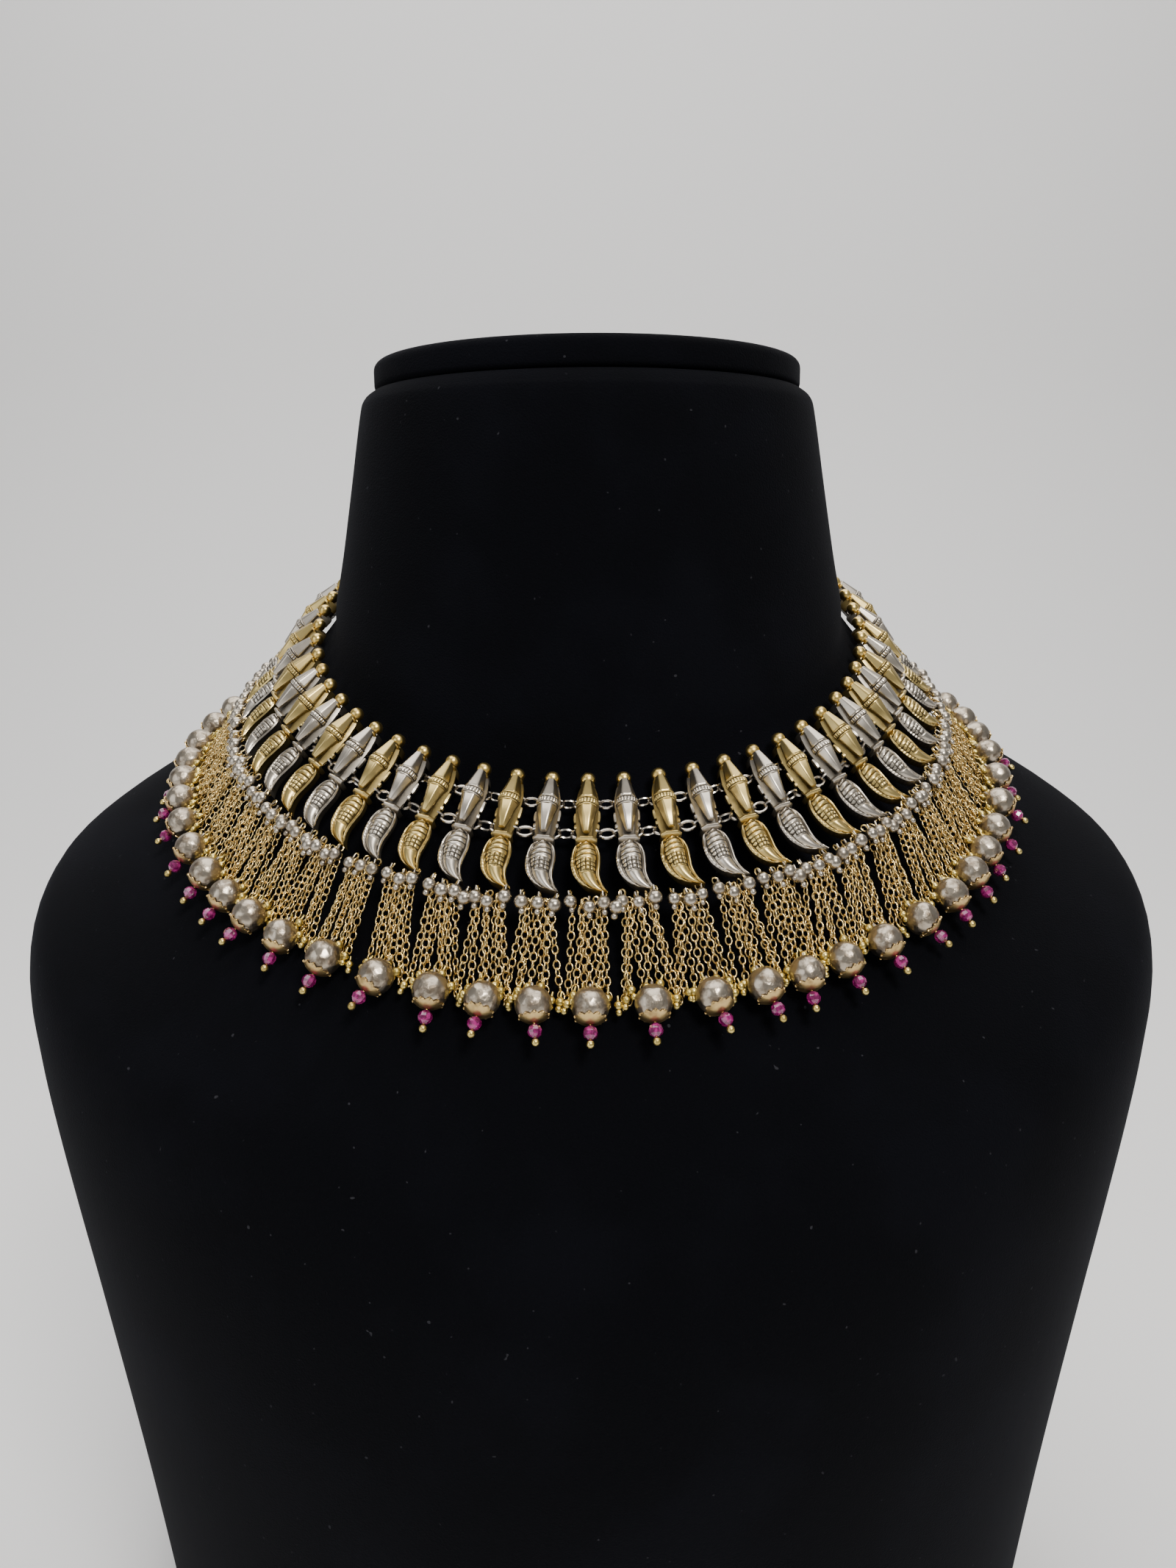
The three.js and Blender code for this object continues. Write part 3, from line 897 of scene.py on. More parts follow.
# Shares: height of the neck's top height, side, front and back of the sizes that Skin names
TORSO = (
    (0, 0.822, 0.869, 0.8, 0),
    (0.205, 0.871, 0.944, 0.888, 0.05),
    (0.375, 0.922, 0.991, 0.95, 0.12),
    (0.455, 0.949, 1, 0.975, 0.18),
    (0.526, 0.974, 1, 0.994, 0.22),
    (0.58, 0.992, 0.986, 1, 0.256),
    (0.622, 1, 0.963, 1, 0.29),
    (0.653, 0.983, 0.939, 0.994, 0.32),
    (0.673, 0.929, 0.911, 0.981, 0.335),
    (0.695, 0.838, 0.874, 0.963, 0.342),
    (0.721, 0.715, 0.807, 0.925, 0.338),
    (0.775, 0.573, 0.659, 0.825, 0.394),
)
NECK = (
    (0.8295, 1.183, 1.079, 1.11, 0.488),
    (0.8622, 1.139, 1.06, 1.087, 0.417),
    (0.894, 1.097, 1.035, 1.058, 0.27),
    (0.939, 1.046, 1.01, 1.019, 0.12),
    (0.981, 1, 1, 1, 0),
    (0.994, 0.978, 0.978, 0.978, 0),
    (1, 0.934, 0.934, 0.934, 0),
)


@dataclass
class Skin:
    """The bust's skin, on which everything lies."""

    neck_top: float = 312 * MM
    neck_radius: float = 51.8 * MM
    shoulder_half_width: float = 133.5 * MM
    chest_depth: float = 107 * MM
    back_depth: float = 80 * MM
    sections: list[Section] = field(init=False)
    neckline: int = len(TORSO)

    def __post_init__(self) -> None:
        """Sizes the sections."""
        torso = (self.shoulder_half_width, self.chest_depth, self.back_depth)
        neck = (self.neck_radius,) * 3
        self.sections = [self._sized(row, torso) for row in TORSO] + [self._sized(row, neck) for row in NECK]

    def _sized(self, row: Sequence[float], reach: Sequence[float]) -> Section:
        """A section from its shares."""
        height, side, front, back, tilt = row
        return Section(height * self.neck_top, side * reach[0], front * reach[1], back * reach[2], tilt)

    def point(self, azimuth: float, drop: float) -> Vector:
        """A point of the skin.

        Args:
            azimuth: Its azimuth.
            drop: How far it lies below the neckline, measured along the skin.

        Returns:
            The point.
        """
        step = -1 if drop >= 0 else 1
        index, left = self.neckline, abs(drop)
        start = self.sections[index].point(azimuth)
        while 0 <= index + step < len(self.sections):
            index += step
            stop = self.sections[index].point(azimuth)
            length = (stop - start).length
            if left <= length:
                return start.lerp(stop, left / length)
            left -= length
            start = stop
        return start

    def frame_at(self, azimuth: float, drop: float, height: float = 0.0) -> Matrix:
        """A frame over the skin: x along the ring, y up the skin and z out of it.

        Args:
            azimuth: Its azimuth.
            drop: How far it lies below the neckline.
            height: Its height off the skin.

        Returns:
            The frame.
        """
        along = self.point(azimuth + PROBE, drop) - self.point(azimuth - PROBE, drop)
        up = (self.point(azimuth, drop - MM) - self.point(azimuth, drop + MM)).normalized()
        out = along.cross(up).normalized()
        return framed(up.cross(out), up, out, self.point(azimuth, drop) + out * height)

    def seat(self, azimuth: float, start: float, stop: float) -> Matrix:
        """A frame for a stiff piece that lies on the skin.

        Args:
            azimuth: The piece's azimuth.
            start: The drop at which it starts.
            stop: The drop at which it ends.

        Returns:
            The frame.
        """
        top, bottom = self.point(azimuth, start), self.point(azimuth, stop)
        up = (top - bottom).normalized()
        across = self.point(azimuth + PROBE, start) - self.point(azimuth - PROBE, start)
        out = across.cross(up).normalized()
        lift, drop = 0.0, start
        while drop <= stop:
            lift = max(lift, (self.point(azimuth, drop) - top).dot(out))
            drop += MM
        return framed(up.cross(out), up, out, top + up * start + out * (lift + SEAT_GAP))


def framed(right: Vector, up: Vector, out: Vector, origin: Vector) -> Matrix:
    """A frame from its three axes and its origin."""
    matrix = Matrix((right, up, out)).transposed().to_4x4()
    matrix.translation = origin
    return matrix


@dataclass
class NeckBust:
    """The velvet torso and the disc that closes its neck."""

    skin: Skin
    workshop: Workshop
    sides: int = 112
    steps: int = 5
    cap_share: float = 0.93
    cap_thickness: float = 6.2 * MM
    cap_rim: float = 1.9 * MM
    cap_foot: float = 1.14 * MM
    cap_foot_turn: float = 0.3
    cap_flat: tuple = (0.6, 0.8, 0.5, 0.25, 0.0)  # shares of the radius: one ring beneath, the others on top

    def build(self) -> None:
        """Makes both pieces."""
        self._body()
        self._cap()

    def _body(self) -> None:
        """The torso, smooth round and smooth from one section to the next."""
        columns = []
        for angle in arc(self.sides, 0, 2 * math.pi)[:-1]:
            columns.append(smooth_line([section.point(angle) for section in self.skin.sections], self.steps))
        rows = [[(column[r], 1.0) for column in columns] for r in range(len(columns[0]))]
        velvet = self.workshop["black_velvet"]
        single("velvet_torso", Shape().loft(rows), velvet, "bust_body", Matrix())

    def _cap(self) -> None:
        """The disc, with a soft rim and a flat top."""
        bottom = self.skin.neck_top + SEAT_GAP
        top = bottom + self.cap_thickness
        radius = self.cap_share * self.skin.neck_radius
        foot, rim = self.cap_foot, self.cap_rim
        profile = [(bottom, 0.0), (bottom, radius * self.cap_flat[0]), (bottom, radius - foot)]
        for a in arc(4, self.cap_foot_turn, math.pi / 2):
            profile.append((bottom + foot - foot * math.cos(a), radius - foot + foot * math.sin(a)))
        for a in arc(6, 0, math.pi / 2):
            profile.append((top - rim + rim * math.sin(a), radius - rim + rim * math.cos(a)))
        profile += [(top, radius * share) for share in self.cap_flat[1:]]
        upright = Matrix.Rotation(math.pi / 2, 4, "X")
        cap = Shape().turned(profile, self.sides)
        single("velvet_cap", cap, self.workshop["black_velvet"], "bust_cap", upright)


# ---- bib


@dataclass
class Ring:
    """Where the motifs stand: equal steps along the ring that their finials make."""

    skin: Skin
    count: int = 35
    pitch: float = 7 * MM
    shift: float = -0.4 * MM
    motif_length: float = 25 * MM
    finial_radius: float = 1.25 * MM
    axis_height: float = 3.575 * MM
    # The stiff bib flares off the skin, most at the front; its motifs fan out at the sides and lean a little
    hinge: float = 0.75 * MM
    front_tilt: float = math.radians(10)
    fan: float = math.radians(3.5)
    lean: float = math.radians(-1.5)
    samples: int = 720
    azimuths: list[float] = field(init=False)

    def __post_init__(self) -> None:
        """Finds the stations, from the left end bar to the right one."""
        angles = arc(self.samples, -math.pi, math.pi)
        points = [self.motif_frame(angle) @ Vector((0, 0, self.axis_height)) for angle in angles]
        lengths = [0.0]
        for a, b in zip(points, points[1:]):
            lengths.append(lengths[-1] + (b - a).length)
        half = (self.count + 1) // 2
        self.azimuths = []
        for step in range(-half, half + 1):
            wanted = lengths[-1] / 2 + step * self.pitch + self.shift
            i = next(k for k, length in enumerate(lengths) if length >= wanted)
            share = (wanted - lengths[i - 1]) / (lengths[i] - lengths[i - 1])
            self.azimuths.append(angles[i - 1] + share * (angles[i] - angles[i - 1]))

    def seat(self, azimuth: float) -> Matrix:
        """The frame on the skin at an azimuth: the finials' centres stand over its origin."""
        return self.skin.seat(azimuth, -self.finial_radius, self.motif_length)

    def tilt_at(self, azimuth: float) -> float:
        """How far the bib flares off the skin at an azimuth, as an angle."""
        return self.front_tilt * math.cos(azimuth / 2)

    def motif_frame(self, azimuth: float) -> Matrix:
        """The frame of a motif: hinged where its bar starts, with its tip off the skin."""
        hinge = Matrix.Translation((0, -self.hinge, 0))
        tilt = hinge @ Matrix.Rotation(-self.tilt_at(azimuth), 4, "X") @ hinge.inverted()
        return self.seat(azimuth) @ tilt @ Matrix.Rotation(self.fan * math.sin(azimuth) + self.lean, 4, "Z")

    @property
    def motifs(self) -> list[float]:
        """The motifs' azimuths, without the end bars."""
        return self.azimuths[1:-1]


@dataclass
class Motif:
    """One soldered station of the bib, in its own frame: bar, bicone and paisley."""

    length: float = 25 * MM
    axis_height: float = 3.575 * MM
    bar_half_width: float = 2.2 * MM
    bar_depth: float = 2.5 * MM
    bar_edge: float = 0.9 * MM
    # The bar's rings: mm along, share of its half width, share of its depth; the foot starts at foot_top
    bar_rows: tuple = (
        (-0.75, 0.46, 1.1), (-1.05, 0.54, 1.25), (-2.5, 0.78, 1.3), (-2.6, 0.79, 1.3), (-4.2, 0.95, 1.3),
        (-5.2, 1, 1.28), (-8, 0.98, 1.2), (-11.6, 0.92, 1.08), (-12.4, 0.88, 1), (-12.9, 0.88, 1),
        (-13.05, 0.9, 1.1), (-13.3, 0.93, 1.26), (-13.5, 0.94, 1.3), (-13.6, 0.94, 1.3), (-13.8, 0.92, 1.25),
        (-14, 0.87, 1.1), (-14.4, 0.8, 0.7),
    )
    foot_top: float = -12.95 * MM
    # Relief round the outline of the bar and of its foot; low values paint shade on the plate: the lower sides
    # of both and the bar's front face
    bar_relief: tuple = (0.1, 0.5, 0.22, 0.22, 0.5, 0.1)
    foot_relief: tuple = (0.15, 0.5, 0.75, 0.75, 0.5, 0.15)
    channel: tuple = (-2.56 * MM, -13.54 * MM, 1.8 * MM)  # start, stop, height
    # Solder lugs: share of the bar's half width, mm along, half length in mm
    lugs: tuple = ((-0.96, -8.4, 1.2), (0.96, -7.9, 1.4), (0.9, -10.2, 0.6), (-0.9, -10.4, 0.5))
    lug_sides: int = 7
    lug_radius: float = 0.55 * MM
    lug_height: float = 0.62  # share of the bar's depth
    lug_relief: tuple = (0.2, 0.5, 0.8, 0.5, 0.8, 0.5, 0.2)
    # The bicone's cones and girth: mm along, share of its radius, height in the relief
    bicone_radius: float = 2.0 * MM
    upper_cone: tuple = (
        (-0.95, 0.38, 0.4), (-1.1, 0.5, 0.7), (-5.3, 1, 1), (-5.55, 0.95, 0.6), (-5.75, 0.7, 0),
    )
    lower_cone: tuple = (
        (-7.15, 0.7, 0), (-7.35, 0.93, 0.6), (-7.57, 0.97, 1), (-12.55, 0.36, 0.75), (-12.75, 0.28, 0.5),
    )
    girth: tuple = (
        (-5.5, 0.7, 0), (-5.5, 0.95, 0.5), (-5.6, 1.02, 1), (-5.75, 1.02, 1), (-5.85, 0.95, 0.1),
        (-5.95, 0.95, 0.1), (-6.05, 1.03, 0.8), (-6.3, 1.07, 1), (-6.65, 1.07, 1), (-6.9, 1.03, 0.8),
        (-7.0, 0.95, 0.1), (-7.1, 0.95, 0.1), (-7.18, 1.0, 0.9), (-7.32, 1.0, 0.9), (-7.4, 0.94, 0.4),
        (-7.4, 0.7, 0),
    )
    milled_rows: tuple = (6, 7, 8, 9)
    milled_share: float = 0.035
    facets: int = 6
    facet_share: float = 1.06
    corner_share: float = 0.955
    ticks: int = 26
    # The finial in shares of its ball's radius: collar ring (along, radius), where the ball is cut off
    # above it, and how far the ball's centre lies behind the bicone's axis
    finial_ring: tuple = (
        (-0.78, 0.62), (-0.84, 0.86), (-0.98, 0.98), (-1.12, 0.98), (-1.24, 0.84), (-1.3, 0.5), (-1.3, 0),
    )
    finial_sides: int = 18
    finial_cut: float = -0.72
    finial_sink: float = 0.5

    paisley_top: float = 14.15 * MM
    paisley_half_width: float = 2.75 * MM
    paisley_rows: int = 84
    paisley_columns: int = 28
    # Outline of the paisley, (across, down), as shares of its half width and length
    left_side: tuple = (
        (0, 0), (-0.46, 0.016), (-0.8, 0.085), (-1, 0.27), (-0.97, 0.5), (-0.66, 0.71), (0.14, 0.9), (1.58, 1),
    )
    right_side: tuple = (
        (0, 0), (0.44, 0.014), (0.78, 0.078), (1, 0.25), (1.0, 0.47), (0.98, 0.63), (1.14, 0.8), (1.58, 1),
    )
    outline_steps: int = 12
    back_inset: float = 0.12
    back_high: float = 0.2
    # At the very tip: greatest half width, share of the rim's height, height in the relief
    point: tuple = (0.05 * MM, 0.6, 0.5)
    rim_height: float = 1.7 * MM
    crown: float = 1.25 * MM
    # The border, milled and wider on the left from milled_from on, and the groove inside it
    border: float = 0.6 * MM
    border_growth: float = 0.5 * MM
    border_crest: float = 0.5 * MM
    crest_start: float = 0.12  # share of the crest's wave that lies outside the leaf
    most_border: float = 0.4  # share of the half width
    most_groove: float = 0.1
    # Heights in the relief, which set painted shade: the lowest, the gain up to the crest or the crown, the
    # loss in a cut, which paints shade in the cuts
    border_high: tuple = (0.35, 0.65, 0.5)
    field_high: tuple = (0.6, 0.4, 0.9)
    milled_from: float = 0.3
    milled_pitch: float = 0.7 * MM
    milled_depth: float = 0.14 * MM
    groove: float = 0.2 * MM
    groove_rise: float = 0.15 * MM
    least_dome: float = 0.15 * MM
    # Ribs down to rib_stop, hatching down to hatch_stop, and a plain point after a step
    rib_stop: float = 0.36
    hatch_stop: float = 0.6
    rib_pitch: float = 1.15 * MM
    hatch_pitch: tuple = (0.85 * MM, 0.95 * MM)
    hatch_shift: float = 0.47 * MM
    rib_depth: float = 0.42 * MM
    hatch_depth: float = 0.26 * MM
    cut_width: float = 0.16 * MM
    bend: tuple = (0.4 * MM, -0.6 * MM)  # how far the lines run askew, and how far they bow
    dome_side: float = 2.2
    dome_top: float = 0.7
    swell_centre: float = 0.4
    swell_reach: float = 0.56
    step_depth: float = 0.3 * MM
    step_place: float = 0.615
    step_reach: float = 0.014
    # The plain point's ridge: its narrowness, its rise (base, gain, power) and its relief (lowest, gain)
    tip_narrowing: float = 1.25
    tip_rise: tuple = (0.2, 0.9, 0.7)
    tip_high: tuple = (0.15, 0.85)

    def shape(self) -> Shape:
        """The whole motif without its finial."""
        shape = self.bar(True)
        self._lugs(shape)
        self._bicone(shape)
        self._paisley(shape)
        return shape

    def bar(self, has_channel: bool) -> Shape:
        """The back bar with its foot.

        Args:
            has_channel: Whether the link rows pass under it.

        Returns:
            The bar's shape.
        """
        start, stop, height = self.channel
        rings = []
        for along, half, front in self.bar_rows:
            along, half, front = along * MM, half * self.bar_half_width, front * self.bar_depth
            under = height if has_channel and stop < along < start else 0.0
            edge = min(self.bar_edge, 0.5 * half)
            outline = [(-half, under), (-half, front - edge), (-half + edge, front), (half - edge, front)]
            outline += [(half, front - edge), (half, under)]
            relief = self.foot_relief if along < self.foot_top else self.bar_relief
            rings.append([(Vector((x, along, z)), high) for (x, z), high in zip(outline, relief)])
        return Shape().loft(rings)

    def _lugs(self, shape: Shape) -> None:
        """The rough solder lugs at the bar's sides, between the link rows.

        Args:
            shape: The shape that they go into.
        """
        for across, along, long in self.lugs:
            profile = []
            for a in arc(6, 0, math.pi):
                profile.append(((along + long * math.cos(a)) * MM, self.lug_radius * math.sin(a) ** 0.5))
            centre = Vector((across * self.bar_half_width, 0, self.bar_depth * self.lug_height))
            shape.turned(profile, self.lug_sides, centre, self.lug_relief)

    def _bicone(self, shape: Shape) -> None:
        """Two faceted cones, foot to foot, and the girth: a plain ring, a milled band and a second ring.

        Args:
            shape: The shape that they go into.
        """
        centre = Vector((0, 0, self.axis_height))
        parts = (
            (self.upper_cone, 8 * self.facets, self._faceted),
            (self.lower_cone, 8 * self.facets, self._faceted),
            (self.girth, 3 * self.ticks, self._milled),
        )
        for rows, sides, ripple in parts:
            relief = [high for *_place, high in rows]
            shape.turned(scaled(rows, MM, self.bicone_radius), sides, centre, relief, ripple)

    def _milled(self, angle: float, row: int) -> float:
        """Radius share of the milled band."""
        return 1.0 + self.milled_share * math.cos(self.ticks * angle) if row in self.milled_rows else 1.0

    def _faceted(self, angle: float, _row: int) -> float:
        """Radius share that gives flat facets with rounded corners."""
        half = math.pi / self.facets
        within = (angle + half) % (2 * half) - half
        return min(math.cos(half) / math.cos(within), self.corner_share) * self.facet_share

    def _paisley(self, shape: Shape) -> None:
        """The domed leaf with its raised border, ribs, hatching and plain point.

        Args:
            shape: The shape that it goes into.
        """
        depth = self.length - self.paisley_top
        sides = []
        for side in (self.left_side, self.right_side):
            controls = scaled([(-y, x) for x, y in side], depth, self.paisley_half_width, -self.paisley_top)
            line = smooth_line([Vector((across, along, 0)) for along, across in controls], self.outline_steps)
            sides.append(evened(line, self.paisley_rows))
        rings = []
        for k, (left, right) in enumerate(zip(*sides)):
            half = (right - left).length / 2
            ring = []
            for share in arc(self.paisley_columns, 0, 1):
                spot = left.lerp(right, share)
                across = 2 * share - 1
                down = (-spot.y - self.paisley_top) / depth
                rise, high = self._relief((1 - abs(across)) * half, half, across, down)
                ring.append((spot + Vector((0, 0, rise)), high))
            inset = self.back_inset if 0 < k < self.paisley_rows else 0.0
            ring += [(right.lerp(left, inset), self.back_high), (left.lerp(right, inset), self.back_high)]
            rings.append(ring)
        shape.loft(rings)

    def _relief(self, inward: float, half: float, across: float, down: float) -> tuple[float, float]:
        """Height of the paisley's front.

        Args:
            inward: Distance from the nearer side.
            half: Half the leaf's width there.
            across: From -1 at the left side to 1 at the right one.
            down: From 0 at the top to 1 at the tip.

        Returns:
            The height over the seat, and how high it stands in the relief.
        """
        narrowest, rise, high = self.point
        if half < narrowest:
            return self.rim_height * rise, high
        skew, bow = self.bend
        place = down * (self.length - self.paisley_top) + skew * across + bow * across**2
        milled = across < 0 and down > self.milled_from
        widening = min(down / self.milled_from - 1, 1.0) if milled else 0.0
        border = min(self.border + self.border_growth * widening, self.most_border * half)
        groove = border + min(self.groove, self.most_groove * half)
        if inward < border:
            crest = math.sin(math.pi * (self.crest_start + (1 - self.crest_start) * inward / border))
            tick = 0.5 + 0.5 * math.cos(2 * math.pi * place / self.milled_pitch) if milled else 0.0
            rise = (self.border_crest - self.milled_depth * tick) * crest
            low, gain, loss = self.border_high
            return self.rim_height + rise, low + (gain - loss * tick) * crest
        if inward < groove or half - groove < self.least_dome:
            return self.rim_height + self.groove_rise, 0.0
        inner = (inward - groove) / (half - groove)
        dome = max(0.0, 1 - (1 - inner) ** self.dome_side) ** self.dome_top
        swell = math.sqrt(max(0.0, 1 - ((down - self.swell_centre) / self.swell_reach) ** 2))
        if down < self.hatch_stop:
            ribbed = down < self.rib_stop
            # Place and pitch of the cuts: one set round the ribs, or two that cross in the hatching
            cuts = [(place, self.rib_pitch)]
            if not ribbed:
                cuts = list(zip((place, across * half + self.hatch_shift), self.hatch_pitch))
            off = min(abs((spot / pitch) % 1 - 0.5) * pitch for spot, pitch in cuts)
            cut = math.exp(-((off / self.cut_width) ** 2))
            depth = self.rib_depth if ribbed else self.hatch_depth
            rise = self.groove_rise + dome * (swell * self.crown - cut * depth)
            low, gain, loss = self.field_high
            high = low + gain * dome - loss * cut
        else:
            narrow = max(0.0, 1 - (across * self.tip_narrowing) ** 2)
            step = self.step_depth * math.exp(-(((down - self.step_place) / self.step_reach) ** 2))
            base, gain, power = self.tip_rise
            rise = max(swell * self.crown * (base + gain * narrow**power) - step, 0.0) * dome**0.5
            low, gain = self.tip_high
            high = low + gain * narrow - step / MM
        return self.rim_height + rise, min(max(high, 0.0), 1.0)

    def finial(self, radius: float) -> Shape:
        """The ball on top, with its collar ring.

        Args:
            radius: The ball's radius.

        Returns:
            The finial's shape.
        """
        ball = [row for row in ball_profile(1.0, 12) if row[0] > self.finial_cut]
        profile = scaled([*ball, *self.finial_ring], radius, radius)
        centre = Vector((0, 0, self.axis_height - self.finial_sink * radius))
        return Shape().turned(profile, self.finial_sides, centre)


@dataclass
class Bib:
    """The motifs, their finials, the end bars and the two rows of links."""

    ring: Ring
    growths: Growths
    motif: Motif = field(default_factory=Motif)
    row_drops: tuple = (4.6 * MM, 11.5 * MM)
    row_height: float = 0.85 * MM
    link_width: float = 2.4 * MM
    link_wire: float = 0.52 * MM
    # Half the links lean each way from the middle lean, so that both kinds show their holes to the front
    link_lean: float = math.radians(38)
    link_turn: float = math.radians(42)
    links_per_gap: int = 3
    link_steps: tuple = (16, 6)  # round the link and round its wire
    turn_gain: float = 1.5
    least_turn: float = 0.35
    link_overlap: float = 1.9  # how far neighbours overlap, in thicknesses of their wire
    lean_chance: float = 0.1
    turn_chance: float = 0.12
    seed: int = 5
    finial_growth: float = 1.18  # the scene's finials are this much larger than the solids'
    motif_sharp: float = math.radians(32)

    def build(self) -> None:
        """Makes the bib's pieces."""
        self._motifs()
        self._finials()
        self._end_bars()
        self._rows()

    def _motifs(self) -> None:
        """One piece for each plating, which stands for all its motifs."""
        shape = self.motif.shape()
        half = self.ring.count // 2
        for plating in Plating:
            steps = [s for s in range(-half, half + 1) if Plating.of_station(s) is plating]
            places = [self.ring.motif_frame(self.ring.motifs[s + half]) for s in steps]
            name = plating.name.lower() + "_motifs"
            nodes = [f"motif_{s + half + 1:02d}" for s in steps]
            self.growths.scattered(name, places, shape, plating.value, plating.value, nodes, self.motif_sharp)

    def _finials(self) -> None:
        """The gold balls along the neckline."""
        shape = self.motif.finial(self.ring.finial_radius * self.finial_growth)
        places = [self.ring.motif_frame(azimuth) for azimuth in self.ring.motifs]
        self.growths.scattered("neckline_finials", places, shape, "finial_gold", "gold_plate")

    def _end_bars(self) -> None:
        """The plain bars that close the bib."""
        places = [self.ring.motif_frame(self.ring.azimuths[end]) for end in (0, -1)]
        nodes = ["end_bar_left", "end_bar_right"]
        self.growths.scattered("end_bars", places, self.motif.bar(False), "gold_plate", "gold_plate", nodes)

    def _rows(self) -> None:
        """The oval links that join the motifs."""
        chance = random.Random(self.seed)
        wire = self.link_wire
        length = self.ring.pitch / self.links_per_gap + self.link_overlap * wire
        shape = wire_loop(length - wire, self.link_width - wire, wire, *self.link_steps)
        frames = [self.ring.motif_frame(azimuth) for azimuth in self.ring.azimuths]
        for name, drop in zip(("upper", "lower"), self.row_drops):
            places = []
            for before, after in zip(frames, frames[1:]):
                start, stop = (place @ Vector((0, -drop, self.row_height)) for place in (before, after))
                along = (stop - start).normalized()
                out = (before.to_3x3().col[2] + after.to_3x3().col[2]).normalized()
                across = along.cross(out).normalized()
                size = (stop - start).length / self.ring.pitch
                # Where the row faces the sides or the back, its links lean less far apart
                turn = self.link_turn * min(max(self.turn_gain * -out.y, self.least_turn), 1.0)
                for k in range(self.links_per_gap):
                    spot = start.lerp(stop, (k + 0.5) / self.links_per_gap)
                    lean = self.link_lean + turn * (-1) ** len(places)
                    lean += chance.uniform(-self.lean_chance, self.lean_chance)
                    place = framed(across, along, across.cross(along), spot) @ Matrix.Rotation(lean, 4, "Y")
                    place @= Matrix.Rotation(chance.uniform(0, self.turn_chance), 4, "Z")
                    places.append(place @ Matrix.Scale(size, 4))
            nodes = [name + "_link_row"]
            self.growths.scattered(name + "_links", places, shape, "silver_wire", "silver_link", nodes)


# ---- fringe


@dataclass(frozen=True)
class Looseness:
    """How far chance takes a small ball from its spot, in mm, and how high it hangs off the skin."""

    down: float
    across: float
    height: float
    height_chance: float = 0.5


